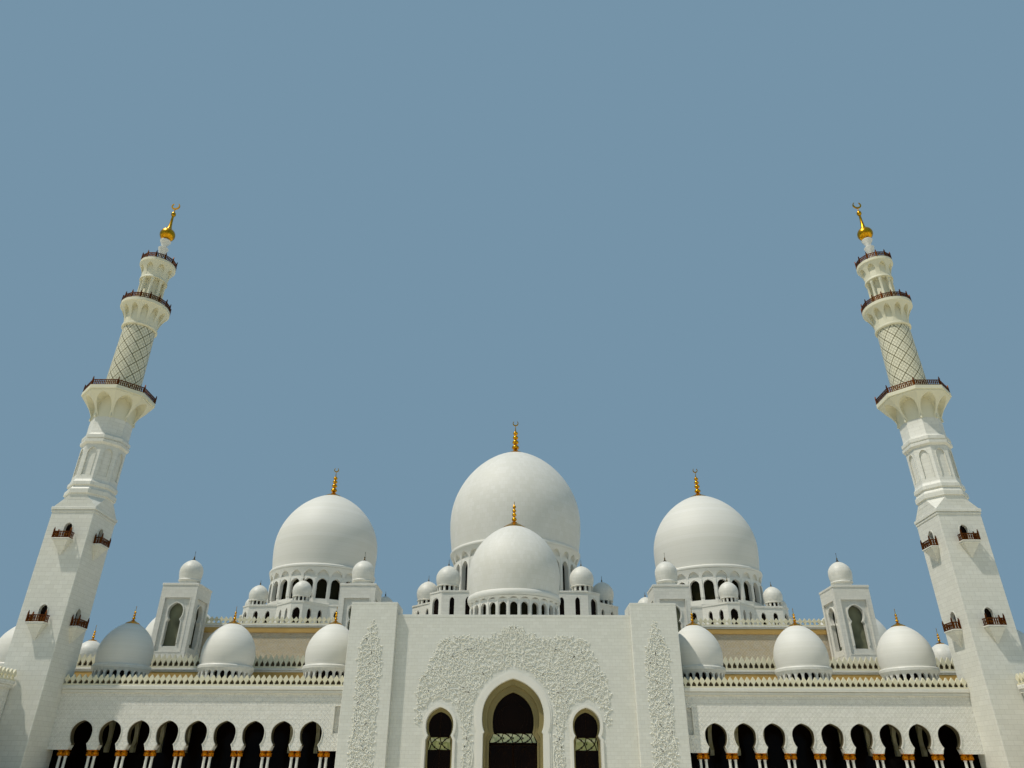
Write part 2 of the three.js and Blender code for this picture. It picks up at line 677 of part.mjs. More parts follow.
// Lower roof round the upper storey, with an end dome and a small turret at each end
function lowerRoof() {
  const z0 = LOWER_CORNICE_Z - ROOF_SLAB;
  const z1 = LOWER_CORNICE_Z;
  const half = OUTER_X - WALL - BED;
  const slab = block(-half, half, LOWER_FRONT + WALL + BED, LOWER_BACK - WALL - BED, z0, z1);
  const well = block(
    -UPPER_HALF + WALL, UPPER_HALF - WALL, UPPER_FRONT + WALL, UPPER_BACK - WALL, z0 - CLEAR, z1 + CLEAR,
  );
  const porch = block(-PORTAL_HALF, PORTAL_HALF, 0, UPPER_FRONT, z0 - CLEAR, z1 + CLEAR);
  const dome = END_DOME;
  const profile = [
    [0, z1 - SINK], [dome.drum, z1 - SINK], [dome.drum, dome.ringZ], [dome.ring, dome.ringZ],
    [dome.ring, dome.springZ], ...domeCurve(dome, SMALL_DOME_STEPS),
  ];
  const hollow = [
    [0, z0 - CLEAR], [dome.innerFoot, z0 - CLEAR], [dome.innerWide, dome.wideZ], [0, dome.innerTop],
  ];
  const parts = [];
  const hollows = [];
  for (const side of [-1, 1]) {
    const x = side * dome.x;
    parts.push(turned(profile, dome.sides, x, HALL_CENTRE_Y));
    parts.push(finial(dome, x, HALL_CENTRE_Y));
    parts.push(smallTurret(END_TURRET, side * END_TURRET.x, END_TURRET.y, z1));
    hollows.push(turned(hollow, dome.innerSides, x, HALL_CENTRE_Y));
  }
  place("lower_roof", cut(join([cut(slab, [well, porch]), ...parts]), hollows), marble);
}

// Upper storey of the hall
function upperFrontWall() {
  const half = UPPER_HALF;
  const foot = LOWER_CORNICE_Z + BED;
  const edge = UPPER_FRONT - CORNICE_REACH;
  place("upper_front_wall", join([
    block(-half, half, UPPER_FRONT, UPPER_FRONT + WALL, foot, UPPER_TOP),
    block(-half, half, edge, UPPER_FRONT + SINK, UPPER_CORNICE_Z, UPPER_TOP),
  ]), marble);
}

function upperParapet() {
  const front = UPPER_FRONT - CORNICE_REACH + PARAPET_SETBACK;
  const band = block(
    -UPPER_HALF, UPPER_HALF, front, front + PARAPET_THICK, UPPER_TOP + BED, UPPER_PARAPET_TOP - MERLON_POINT,
  );
  place("upper_parapet", band, carvedStone);
}

function upperRoof() {
  const z1 = UPPER_CORNICE_Z;
  const z0 = z1 - ROOF_SLAB;
  const half = UPPER_HALF - WALL - BED;
  const slab = block(-half, half, UPPER_FRONT + WALL + BED, UPPER_BACK - WALL - BED, z0, z1);
  const eyes = [[MAIN, 0], [SIDE, -1], [SIDE, 1]].map(([dome, side]) => eye(dome, side * dome.x, z0, z1));
  place("upper_roof", cut(slab, eyes), marble);
}

// Octagonal podium with eight domed turrets, open under the dome
function podium(name, dome, spec, x) {
  const foot = UPPER_CORNICE_Z + BED;
  const corner = Math.PI / TURRETS;
  const radius = spec.apothem / Math.cos(corner);
  const top = spec.top - BED;
  const core = [[0, foot], [radius, foot], [radius, top], [0, top]];
  const parts = [turned(core, TURRETS, x, dome.y, corner)];
  const turretTop = spec.top - TURRET_SINK;
  const small = {
    base: 0.92 * spec.dome, wide: spec.dome, wideZ: spec.domeZ, springZ: spec.domeZ - 0.5 * spec.dome,
    top: spec.domeZ + 1.15 * spec.dome, tip: spec.domeZ + 2.0 * spec.dome, drum: 0.86 * spec.dome,
  };
  for (let i = 0; i < TURRETS; i++) {
    const angle = (i * 2 * Math.PI) / TURRETS;
    const tx = x + spec.turretRing * Math.sin(angle);
    const ty = dome.y - spec.turretRing * Math.cos(angle);
    const body = new THREE.BoxGeometry(2 * spec.turretHalf, 2 * spec.turretHalf, turretTop - foot);
    body.rotateZ(angle);
    body.translate(tx, ty, (turretTop + foot) / 2);
    parts.push(solid(body));
    parts.push(smallTurret(small, tx, ty, turretTop));
  }
  place(name, cut(join(parts), [eye(dome, x, foot, spec.top)]), marble);
}

// Drum: a ring of flat facets, each with one arched window
function drum(name, dome, x) {
  const firstCorner = Math.PI / dome.windows;
  const grow = 1 / Math.cos(firstCorner);
  const outer = turned([
    [0, dome.foot], [dome.drum * grow, dome.foot], [dome.drum * grow, dome.ringZ - RING_FLARE],
    [dome.ring * grow, dome.ringZ], [dome.ring * grow, dome.springZ - BED], [0, dome.springZ - BED],
  ], dome.windows, x, dome.y, firstCorner);
  const low = dome.foot - CLEAR;
  const high = dome.springZ + CLEAR;
  const inner = turned([
    [0, low], [dome.drumInner * grow, low], [dome.drumInner * grow, high], [0, high],
  ], dome.windows, x, dome.y, firstCorner);
  const windows = [];
  for (let i = 0; i < (dome.window ? dome.windows : 0); i++) {
    const outline = archOutline(dome.window, 0, POINTED_ARCH_STEPS);
    const opening = panel(outline, -dome.drum - CLEAR, -dome.drumInner + CLEAR);
    opening.rotateZ((i * 2 * Math.PI) / dome.windows);
    opening.translate(x, dome.y, 0);
    windows.push(solid(opening));
  }
  place(name, cut(outer, [inner, ...windows]), marble);
}

// Dome shell with its finial
function domeShell(name, dome, x) {
  const outer = join([
    turned([[0, dome.springZ], ...domeCurve(dome, DOME_STEPS)], dome.sides, x, dome.y),
    finial(dome, x, dome.y),
  ]);
  const inner = {
    base: dome.base - dome.shell, wide: dome.wide - dome.shell, wideZ: dome.wideZ,
    springZ: dome.springZ - CLEAR, top: dome.top - dome.shell,
  };
  const hollow = turned([[0, inner.springZ], ...domeCurve(inner, HOLLOW_STEPS)], dome.sides / 2, x, dome.y);
  place(name, cut(outer, [hollow]), marble);
}

// Window tower with a recessed panel and a keyhole window in each face
function windowTower(name, x) {
  const y = TOWER_FRONT + TOWER_HALF;
  const foot = LOWER_CORNICE_Z + BED;
  const inside = TOWER_HALF - TOWER_WALL;
  const body = join([
    block(x - TOWER_HALF, x + TOWER_HALF, y - TOWER_HALF, y + TOWER_HALF, foot, TOWER_TOP),
    smallTurret(TOWER_DOME, x, y, TOWER_TOP),
  ]);
  const tools = [block(x - inside, x + inside, y - inside, y + inside, foot - CLEAR, TOWER_TOP - TOWER_WALL)];
  for (let i = 0; i < 4; i++) {
    const height = TOWER_PANEL_TOP - TOWER_PANEL_FOOT;
    const recess = new THREE.BoxGeometry(2 * TOWER_PANEL_HALF, 2 * TOWER_PANEL_DEPTH, height);
    recess.translate(0, -TOWER_HALF, TOWER_PANEL_FOOT + height / 2);
    recess.rotateZ((i * Math.PI) / 2);
    recess.translate(x, y, 0);
    tools.push(solid(recess));
    const outline = archOutline(TOWER_KEYHOLE, 0, POINTED_ARCH_STEPS);
    const keyhole = panel(outline, -TOWER_HALF - CLEAR, -inside + TOWER_WALL / 2);
    keyhole.rotateZ((i * Math.PI) / 2);
    keyhole.translate(x, y, 0);
    tools.push(solid(keyhole));
  }
  place(name, cut(body, tools), marble);
}

// Square minaret shaft with a balcony and a door niche on each face at two levels
function minaretShaft(side, name) {
  const x = side * MINARET_X;
  const y = MINARET_Y;
  const out = SHAFT_CORNICE_HALF;
  const parts = [
    block(x - SHAFT_HALF, x + SHAFT_HALF, y - SHAFT_HALF, y + SHAFT_HALF, FLOOR_TOP, SHAFT_TOP),
    block(x - out, x + out, y - out, y + out, SHAFT_CORNICE_FOOT, SHAFT_TOP),
  ];
  const niches = [];
  const face = -SHAFT_HALF;
  for (const slabZ of BALCONY_SLABS) {
    const under = slabZ - BALCONY_SLAB;
    const head = under + SINK;
    const corbelHalf = BALCONY_HALF - 2 * SINK;
    const corbelReach = face - BALCONY_REACH + 2 * SINK;
    const corbel = [
      [-corbelHalf, face + SINK, head], [corbelHalf, face + SINK, head],
      [-corbelHalf, corbelReach, head], [corbelHalf, corbelReach, head],
      [0, face + SINK, under - BALCONY_CORBEL],
    ];
    const doorway = {
      foot: BALCONY_DOOR.half, sill: slabZ, wide: BALCONY_DOOR.half,
      wideZ: slabZ + BALCONY_DOOR.springing, apex: slabZ + BALCONY_DOOR.crown,
    };
    for (let i = 0; i < 4; i++) {
      const turn = (i * Math.PI) / 2;
      const pieces = [
        new ConvexGeometry(corbel.map((c) => new THREE.Vector3(...c))),
        new THREE.BoxGeometry(2 * BALCONY_HALF, BALCONY_REACH + SINK, BALCONY_SLAB)
          .translate(0, face + (SINK - BALCONY_REACH) / 2, slabZ - BALCONY_SLAB / 2),
      ];
      for (const piece of pieces) {
        piece.rotateZ(turn);
        piece.translate(x, y, 0);
        parts.push(solid(piece));
      }
      const outline = archOutline(doorway, 0, POINTED_ARCH_STEPS);
      const niche = panel(outline, face - CLEAR / 2, face + BALCONY_DOOR.depth);
      niche.rotateZ(turn);
      niche.translate(x, MINARET_Y, 0);
      niches.push(solid(niche));
    }
  }
  place(name, cut(join(parts), niches), marble);
}

// Octagonal stage: broaches, mouldings, blind niches and the flared capital under the balcony
function minaretOctagon(side, name) {
  const x = side * MINARET_X;
  const corner = Math.PI / OCTAGON_SIDES;
  const grow = 1 / Math.cos(corner);
  const foot = SHAFT_TOP + BED;
  const broach = [];
  for (const cx of [-SHAFT_HALF, SHAFT_HALF]) {
    for (const cy of [-SHAFT_HALF, SHAFT_HALF]) broach.push(new THREE.Vector3(cx, cy, foot));
  }
  for (let i = 0; i < OCTAGON_SIDES; i++) {
    const angle = corner + i * 2 * corner;
    const reach = BROACH_RADIUS * grow;
    broach.push(new THREE.Vector3(reach * Math.sin(angle), reach * Math.cos(angle), BROACH_TOP));
  }
  const railTop = OCTAGON_TOP + RAIL_HEIGHT;
  const railInner = OCTAGON_BALCONY - RAIL_THICK;
  const steps = [
    [0, 41.0], [3.5, 41.0], [3.6, 42.9], [3.3, 43.3], [3.5, 44.2],
    [3.2, 44.8], [3.2, 50.9], [3.55, 51.2], [3.55, 52.5], [3.1, 53.0], [3.1, 56.3],
    [OCTAGON_BALCONY, 60.3], [OCTAGON_BALCONY, railTop], [railInner, railTop], [railInner, OCTAGON_TOP],
    [0, OCTAGON_TOP],
  ];
  const parts = [
    solid(new ConvexGeometry(broach).translate(x, MINARET_Y, 0)),
    turned(steps.map(([r, z]) => [r * grow, z]), OCTAGON_SIDES, x, MINARET_Y, corner),
  ];
  const niches = [];
  for (let i = 0; i < OCTAGON_SIDES; i++) {
    const outline = archOutline(OCTAGON_NICHE, 0, POINTED_ARCH_STEPS);
    const niche = panel(outline, -SHAFT_HALF - CLEAR, -OCTAGON_NICHE_FLOOR);
    niche.rotateZ(i * 2 * corner);
    niche.translate(x, MINARET_Y, 0);
    niches.push(solid(niche));
  }
  place(name, cut(join(parts), niches), marble);
}

// Round stage with the flare under its balcony
function minaretRound(side, name) {
  const foot = OCTAGON_TOP + BED;
  const railTop = ROUND_TOP + RAIL_HEIGHT;
  const railInner = ROUND_BALCONY - RAIL_THICK;
  const profile = [
    [0, foot], [2.9, foot], [2.75, 75.3], [3.0, 75.6], [3.1, 77.6],
    [ROUND_BALCONY, 79.6], [ROUND_BALCONY, railTop], [railInner, railTop], [railInner, ROUND_TOP],
    [0, ROUND_TOP],
  ];
  place(name, turned(profile, ROUND_SIDES, side * MINARET_X, MINARET_Y), marble);
}

// Lantern of eight columns round a core, its capital and balcony, the turned neck and the finial
function minaretLantern(side, name) {
  const x = side * MINARET_X;
  const foot = ROUND_TOP + BED;
  const railTop = LANTERN_TOP + RAIL_HEIGHT;
  const railInner = LANTERN_BALCONY - RAIL_THICK;
  const profile = [
    [0, foot], [2.5, foot], [2.5, LANTERN_FOOT_TOP], [1.45, LANTERN_FOOT_TOP],
    [1.45, LANTERN_CAPITAL_FOOT], [2.45, LANTERN_CAPITAL_FOOT], [2.25, 87.8], [LANTERN_BALCONY, 90.0],
    [LANTERN_BALCONY, railTop], [railInner, railTop], [railInner, LANTERN_TOP], [1.2, LANTERN_TOP],
    [1.2, 93.4], [0.75, 94.6], [1.0, 95.8], [0.6, 97.3], [1.46, 98.5],
    [0.4, 101.0], [0.5, 103.6], [0, FINIAL_TOP],
  ];
  const low = LANTERN_FOOT_TOP - SINK;
  const high = LANTERN_CAPITAL_FOOT + SINK;
  const column = [[0, low], [LANTERN_COLUMN_RADIUS, low], [LANTERN_COLUMN_RADIUS, high], [0, high]];
  const parts = [turned(profile, LANTERN_SIDES, x, MINARET_Y)];
  for (let i = 0; i < LANTERN_COLUMNS; i++) {
    const angle = ((i + 0.5) * 2 * Math.PI) / LANTERN_COLUMNS;
    const cx = x + LANTERN_COLUMN_RING * Math.sin(angle);
    const cy = MINARET_Y + LANTERN_COLUMN_RING * Math.cos(angle);
    parts.push(turned(column, LANTERN_COLUMN_SIDES, cx, cy));
  }
  place(name, join(parts), marble);
}

// The whole building, from the ground up
floor();
for (const [side, word] of [[-1, "left"], [1, "right"]]) {
  colonnade(side, "arcade_colonnade_" + word);
  arcadeWall(side, "arcade_wall_" + word);
  arcadeRoof(side, "arcade_roof_" + word);
  arcadeParapet(side, "arcade_parapet_" + word);
  returnArcade(side, "return_arcade_" + word);
  portalSideWall(side, "portal_wall_" + word);
  pylon(side, "pylon_" + word);
  sideScreen(side, "side_door_screen_" + word);
  doorLeaf(side, "gate_leaf_" + word);
  lowerFrontWall(side, "hall_front_wall_" + word);
  lowerParapet(side, "hall_parapet_" + word);
  minaretShaft(side, "minaret_shaft_" + word);
  minaretOctagon(side, "minaret_octagon_" + word);
  minaretRound(side, "minaret_round_stage_" + word);
  minaretLantern(side, "minaret_lantern_" + word);
  windowTower("inner_tower_" + word, side * FIRST_ARCH_X);
  windowTower("outer_tower_" + word, side * (FIRST_ARCH_X + (BAYS - 1) * BAY));
  podium("side_podium_" + word, SIDE, SIDE_PODIUM, side * SIDE.x);
  drum("side_drum_" + word, SIDE, side * SIDE.x);
  domeShell("side_dome_" + word, SIDE, side * SIDE.x);
}
portalMiddleWall();
innerGateArch();
gateScreen();
portalPorch();
drum("portal_drum", PORTAL_DOME, 0);
domeShell("portal_dome", PORTAL_DOME, 0);
rearWalls(
  "hall_rear_walls", OUTER_X, LOWER_FRONT + WALL + BED, LOWER_BACK, FLOOR_TOP,
  LOWER_CORNICE_Z, LOWER_TOP, LOWER_PARAPET_TOP - MERLON_POINT, NICHE,
);
lowerRoof();
upperFrontWall();
upperParapet();
rearWalls(
  "upper_rear_walls", UPPER_HALF, UPPER_FRONT + WALL + BED, UPPER_BACK, LOWER_CORNICE_Z + BED,
  UPPER_CORNICE_Z, UPPER_TOP, UPPER_PARAPET_TOP - MERLON_POINT, null,
);
upperRoof();
podium("main_podium", MAIN, MAIN_PODIUM, 0);
drum("main_drum", MAIN, 0);
domeShell("main_dome", MAIN, 0);

// Millimetres of the model, with the origin on the ground under the middle of the box
const front = RETURN_END - RETURN_BAYS * BAY;
const rear = LOWER_BACK + CORNICE_REACH;
building.position.y = (-MODEL_MM_PER_METRE * (front + rear)) / 2;
building.scale.setScalar(MODEL_MM_PER_METRE);
const model = new THREE.Group();
model.add(building);

export default model;
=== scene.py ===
"""A domed white marble mosque at 1:10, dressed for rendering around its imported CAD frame."""

import math
import random

import bpy
from mathutils import Matrix, Vector


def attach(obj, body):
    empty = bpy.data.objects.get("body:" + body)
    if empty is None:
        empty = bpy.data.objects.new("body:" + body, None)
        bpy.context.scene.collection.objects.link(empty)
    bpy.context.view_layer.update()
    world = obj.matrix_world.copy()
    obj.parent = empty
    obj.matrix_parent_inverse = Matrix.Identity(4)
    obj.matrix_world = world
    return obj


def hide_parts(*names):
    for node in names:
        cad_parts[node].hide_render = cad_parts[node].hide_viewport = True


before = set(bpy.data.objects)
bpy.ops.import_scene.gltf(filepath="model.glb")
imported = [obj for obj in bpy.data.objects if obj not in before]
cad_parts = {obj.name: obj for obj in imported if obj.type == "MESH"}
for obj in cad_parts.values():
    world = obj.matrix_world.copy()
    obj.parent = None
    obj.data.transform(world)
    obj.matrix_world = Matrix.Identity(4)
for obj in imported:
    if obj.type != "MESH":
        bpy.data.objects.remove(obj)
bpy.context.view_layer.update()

# Ground floor slab
# The real floor is a raised bed of concrete paved with white marble flags, polished and laid in a bond.
# Everything is drawn in metres of the real building, with Y from the arcade face, and then set to 1:10.
MODEL_SCALE = 0.1
MODEL_SHIFT_Y = -4.234
BED = 0.003
FLOOR_TOP = 0.3


def linear(hex_colour):
    """Linear colour of an sRGB hex value."""
    channels = [int(hex_colour[i:i + 2], 16) / 255 for i in (1, 3, 5)]
    return tuple(c / 12.92 if c <= 0.04045 else ((c + 0.055) / 1.055) ** 2.4 for c in channels) + (1.0,)


def add_node(tree, kind, inputs=(), **settings):
    """Shader node of a kind with its settings and values; a node or socket given as a value is linked."""
    node = tree.nodes.new("ShaderNode" + kind)
    for key, value in settings.items():
        setattr(node, key, value)
    for socket, value in dict(inputs).items():
        if isinstance(value, bpy.types.Node):
            value = value.outputs[0]
        if isinstance(value, bpy.types.NodeSocket):
            tree.links.new(value, node.inputs[socket])
        else:
            node.inputs[socket].default_value = value
    return node


def new_finish(name):
    """Empty material, and the tree that it is drawn in."""
    finish = bpy.data.materials.new(name)
    finish.use_nodes = True
    finish.node_tree.nodes.clear()
    return finish, finish.node_tree


def marble_finish(name, light, dark, slab_mm, course_mm, joint_mm=1.3, roughness=0.5, relief_mm=0.0):
    """White marble slabs: honed, each a little different, with fine joints and faint grey veins."""
    finish, tree = new_finish(name)
    place = add_node(tree, "TexCoord").outputs["Object"]
    face = add_node(tree, "NewGeometry").outputs["True Normal"]
    xyz = add_node(tree, "SeparateXYZ", {0: place}).outputs
    turn = add_node(tree, "SeparateXYZ", {0: face}).outputs
    across = [add_node(tree, "Math", {0: turn[i]}, operation="ABSOLUTE") for i in range(3)]
    sideways = add_node(tree, "Math", {0: across[0], 1: across[1]}, operation="GREATER_THAN")
    flat = add_node(tree, "Math", {0: across[2], 1: 0.7}, operation="GREATER_THAN")
    along = add_node(tree, "Mix", {0: sideways, 2: xyz[0], 3: xyz[1]})
    up = add_node(tree, "Mix", {0: flat, 2: xyz[2], 3: xyz[1]})
    face_place = add_node(tree, "CombineXYZ", {0: along, 1: up})
    slabs = add_node(tree, "TexBrick", {
        "Vector": face_place, "Color1": linear(light), "Color2": linear(dark),
        "Mortar": linear("#BBB8AB"), "Scale": 1.0, "Mortar Size": joint_mm / 1000, "Mortar Smooth": 0.3,
        "Brick Width": slab_mm / 1000, "Row Height": course_mm / 1000})
    veins = add_node(tree, "TexNoise", {
        "Vector": place, "Scale": 9.0, "Detail": 7.0, "Roughness": 0.6, "Distortion": 1.6})
    vein_mask = add_node(tree, "MapRange", {0: veins, 1: 0.47, 2: 0.53, 3: 0.0, 4: 0.22})
    stone = add_node(tree, "Mix", {
        0: vein_mask, 6: slabs.outputs["Color"], 7: linear("#C9C8C0")}, data_type="RGBA")
    grit = add_node(tree, "TexNoise", {"Vector": place, "Scale": 160.0, "Detail": 3.0})
    height = add_node(tree, "Math", {0: grit, 1: 0.12, 2: 0.0}, operation="MULTIPLY_ADD")
    joints = add_node(tree, "Math", {
        0: slabs.outputs["Fac"], 1: -0.4, 2: height}, operation="MULTIPLY_ADD")
    normal = add_node(tree, "Bump", {"Strength": 0.4, "Distance": 0.002, "Height": joints})
    if relief_mm:
        normal, stone = lattice_relief(tree, face_place, joints, stone, relief_mm)
    shader = add_node(tree, "BsdfPrincipled", {
        "Base Color": stone.outputs[2], "Roughness": roughness, "IOR": 1.49, "Normal": normal})
    add_node(tree, "OutputMaterial", {0: shader})
    return finish


def lattice_relief(tree, face_place, joints, stone, pitch_mm):
    """Diamond lattice cut a few millimetres deep into a wall, as a height and a line of painted shade in the
    grooves.
    """
    ways = []
    for turn in (45, -45):
        line = add_node(tree, "VectorRotate", {
            "Vector": face_place, "Angle": math.radians(turn)}, rotation_type="Z_AXIS")
        step = add_node(tree, "SeparateXYZ", {0: line})
        folded = add_node(tree, "Math", {
            0: step, 1: pitch_mm / 1000}, operation="PINGPONG")
        ways.append(folded)
    nearest = add_node(tree, "Math", {0: ways[0], 1: ways[1]}, operation="MINIMUM")
    rib = add_node(tree, "MapRange", {
        0: nearest, 1: 0.0, 2: 0.22 * pitch_mm / 1000, 3: 1.0, 4: 0.0}, interpolation_type="SMOOTHSTEP")
    height = add_node(tree, "Math", {
        0: rib, 1: 1.6, 2: joints}, operation="MULTIPLY_ADD")
    normal = add_node(tree, "Bump", {"Strength": 0.7, "Distance": 0.005, "Height": height})
    # Painted shade: the grooves are mixed toward an olive shade colour.
    shade = add_node(tree, "MapRange", {0: rib, 1: 0.0, 2: 1.0, 3: 0.2, 4: 0.0})
    darker = add_node(tree, "Mix", {
        0: shade, 6: stone.outputs[2], 7: linear("#8C8668")}, data_type="RGBA")
    return normal, darker


wall_marble = marble_finish("honed white wall marble", "#DAD8CE", "#D2D0C5", 120, 60)
paving_marble = marble_finish("polished white paving marble", "#DEDCD4", "#D3D0C6", 90, 90, roughness=0.2)


def finish_node(name, finish):
    """CAD node that keeps its shape and takes a finish."""
    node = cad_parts[name]
    node.data.materials.clear()
    node.data.materials.append(finish)


finish_node("floor", paving_marble)

# Arcade walls
# Each wall is a screen of keyhole arches, built of stone blocks on paired columns and faced with marble.
# The arches have a raised bead and a lining painted dark as shade; two fascias crown the wall; a tall niche
# is framed.
BAY = 4.19
BAYS = 9
FIRST_ARCH_X = 29.35
WALL = 1.0
ARCADE_FOOT = 4.9
ARCADE_TOP = 13.5
PORTAL_HALF = 18.05
PYLON_OUTER = 25.2
PYLON_BACK = 4.9
ARCADE_NEAR = PYLON_OUTER + BED
MINARET_NEAR_X = 67.3
MINARET_FAR_X = 74.1
MINARET_FRONT = -5.0
MINARET_BACK = 1.8
ARCADE_FAR = MINARET_NEAR_X - BED
KEYHOLE = {"foot": 1.6, "sill": 4.9, "foot_z": 4.9, "neck": 1.13, "neck_z": 5.67, "wide": 1.6, "wide_z": 7.15,
           "apex": 8.8}
ARCADE_CORNICE_Z = 12.5
NICHE_SIDES = ((25.25, 25.45), (26.2, 26.4))
NICHE_Z = (7.2, 10.8)
NICHE_FRAME_Z = (7.1, 10.9)
CUT_PAST = 0.5
lattice_marble = marble_finish("carved lattice marble", "#F0EFE8", "#EAE9E1", 120, 60, relief_mm=22)


def alone(piece):
    """Leaves only this piece selected and active, in object mode."""
    if bpy.context.object and bpy.context.object.mode != "OBJECT":
        bpy.ops.object.mode_set(mode="OBJECT")
    bpy.ops.object.select_all(action="DESELECT")
    piece.select_set(True)
    bpy.context.view_layer.objects.active = piece


def block(x0, x1, y0, y1, z0, z1, bevel=0.0):
    """Squared block between two corners, with its edges eased."""
    bpy.ops.mesh.primitive_cube_add(size=1, location=((x0 + x1) / 2, (y0 + y1) / 2, (z0 + z1) / 2),
                                    scale=(abs(x1 - x0), abs(y1 - y0), abs(z1 - z0)))
    piece = bpy.context.object
    bpy.ops.object.transform_apply(location=True, rotation=True, scale=True)
    if bevel:
        bpy.ops.object.mode_set(mode="EDIT")
        bpy.ops.mesh.select_all(action="SELECT")
        bpy.ops.mesh.bevel(offset=bevel, segments=1)
        bpy.ops.object.mode_set(mode="OBJECT")
    return piece


def slab(outline, front, back):
    """Upright slab sawn to an outline of (x, z) corners, between two depths."""
    bpy.ops.mesh.primitive_circle_add(vertices=len(outline), fill_type="NGON")
    piece = bpy.context.object
    for corner, (x, z) in zip(piece.data.vertices, outline):
        corner.co = (x, front, z)
    bpy.ops.object.mode_set(mode="EDIT")
    bpy.ops.mesh.select_all(action="SELECT")
    bpy.ops.mesh.extrude_region_move(TRANSFORM_OT_translate={"value": (0, back - front, 0)})
    bpy.ops.mesh.select_all(action="SELECT")
    bpy.ops.mesh.normals_make_consistent(inside=False)
    bpy.ops.object.mode_set(mode="OBJECT")
    return piece


def arch(spec, centre=0.0, grow=0.0, steps=9):
    """Outline of an arch from its left foot over the crown; a neck makes it a keyhole, grow widens it."""
    half = [(spec["foot"] + grow, spec["sill"] - (CUT_PAST if grow == 0 else 0))]
    wide = spec["wide"] + grow
    rise = spec["apex"] + grow - spec["wide_z"]
    if "neck" in spec:
        neck = spec["neck"] + grow
        if spec["foot_z"] > spec["sill"]:
            half.append((spec["foot"] + grow, spec["foot_z"]))
        half.append((neck, spec["neck_z"]))
        for i in range(1, steps // 2 + 1):
            t = i / (steps // 2)
            bulge = 2 * t * (1 - t) * wide + t * t * wide + (1 - t) ** 2 * neck
            half.append((bulge,
                         spec["neck_z"] + (0.7 * t * (1 - t) + t * t) * (spec["wide_z"] - spec["neck_z"])))
    else:
        half.append((wide, spec["wide_z"]))
    for i in range(1, steps + 1):
        t = i / steps
        s = 1 - t
        x = s ** 3 * wide + 3 * s * s * t * wide + 3 * s * t * t * 0.5 * wide
        z = 3 * s * s * t * 0.58 * rise + 3 * s * t * t * 0.9 * rise + t ** 3 * rise
        half.append((x, spec["wide_z"] + z))
    half[-1] = (0.0, spec["apex"] + grow)
    left = [(centre - x, z) for x, z in half[:-1]]
    return left + [(centre + x, z) for x, z in reversed(half)]


def cut(piece, tool):
    """Cuts a piece with a tool, which is used up."""
    alone(piece)
    carve = piece.modifiers.new("cut", "BOOLEAN")
    carve.operation = "DIFFERENCE"
    carve.solver = "EXACT"
    carve.object = tool
    bpy.ops.object.modifier_apply(modifier="cut")
    bpy.data.objects.remove(tool)
    return piece


def row(piece, count, step):
    """Row of copies of a piece, one step apart."""
    alone(piece)
    copies = piece.modifiers.new("row", "ARRAY")
    copies.use_relative_offset = False
    copies.use_constant_offset = True
    copies.constant_offset_displace = step
    copies.count = count
    bpy.ops.object.modifier_apply(modifier="row")
    return piece


def joined(pieces):
    """Several pieces made one mesh."""
    alone(pieces[0])
    for piece in pieces:
        piece.select_set(True)
    bpy.ops.object.join()
    return pieces[0]


def frame_ring(spec, width, front, back, centre=0.0, inner=0.0, steps=9):
    """Raised frame that follows an arch."""
    outer = slab(arch(spec, centre, grow=inner + width, steps=steps), front, back)
    hollow = dict(spec, sill=spec["sill"] - CUT_PAST)
    return cut(outer, slab(arch(hollow, centre, grow=inner or 1e-6, steps=steps), front - 1, back + 1))


def mirrored(piece):
    """Copy of a piece for the other side of the building."""
    copy = piece.copy()
    copy.data = piece.data.copy()
    bpy.context.collection.objects.link(copy)
    copy.data.transform(Matrix.Scale(-1, 4, (1, 0, 0)))
    copy.data.flip_normals()
    return copy


def settle(piece, name, finish, slot, nodes=(), body="building", smooth=32):
    """Sets a finished piece to 1:10 in the frame, with its finish, its body and the nodes it replaces."""
    alone(piece)
    piece.name = name
    piece.data.name = name
    if smooth:
        bpy.ops.object.shade_smooth_by_angle(angle=math.radians(smooth))
    bpy.ops.object.transform_apply(location=True, rotation=True, scale=True)
    piece.data.transform(Matrix.Translation((0, MODEL_SHIFT_Y, 0)) @ Matrix.Scale(MODEL_SCALE, 4))
    piece.data.materials.clear()
    piece.data.materials.append(finish)
    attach(piece, body)
    if nodes:
        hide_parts(*nodes)


def settle_pair(piece, name, finish, slot, nodes=(), smooth=32):
    """Settles a piece on the right and its mirrored copy on the left."""
    other = mirrored(piece)
    settle(piece, name + "_right", finish, slot, [n + "_right" for n in nodes], smooth=smooth)
    settle(other, name + "_left", finish, slot, [n + "_left" for n in nodes], smooth=smooth)


def stone_finish(name, light, dark):
    """Carved stone: fine-grained and matt, clouded where dust has settled on it."""
    finish, tree = new_finish(name)
    place = add_node(tree, "TexCoord").outputs["Object"]
    cloud = add_node(tree, "TexNoise", {"Vector": place, "Scale": 4.0, "Detail": 6.0, "Roughness": 0.6})
    tint = add_node(tree, "Mix", {0: cloud, 6: linear(light), 7: linear(dark)}, data_type="RGBA")
    grain = add_node(tree, "TexNoise", {"Vector": place, "Scale": 120.0, "Detail": 4.0})
    normal = add_node(tree, "Bump", {"Strength": 0.35, "Distance": 0.002, "Height": grain})
    shader = add_node(tree, "BsdfPrincipled", {
        "Base Color": tint.outputs[2], "Roughness": 0.62, "IOR": 1.5, "Normal": normal})
    add_node(tree, "OutputMaterial", {0: shader})
    return finish


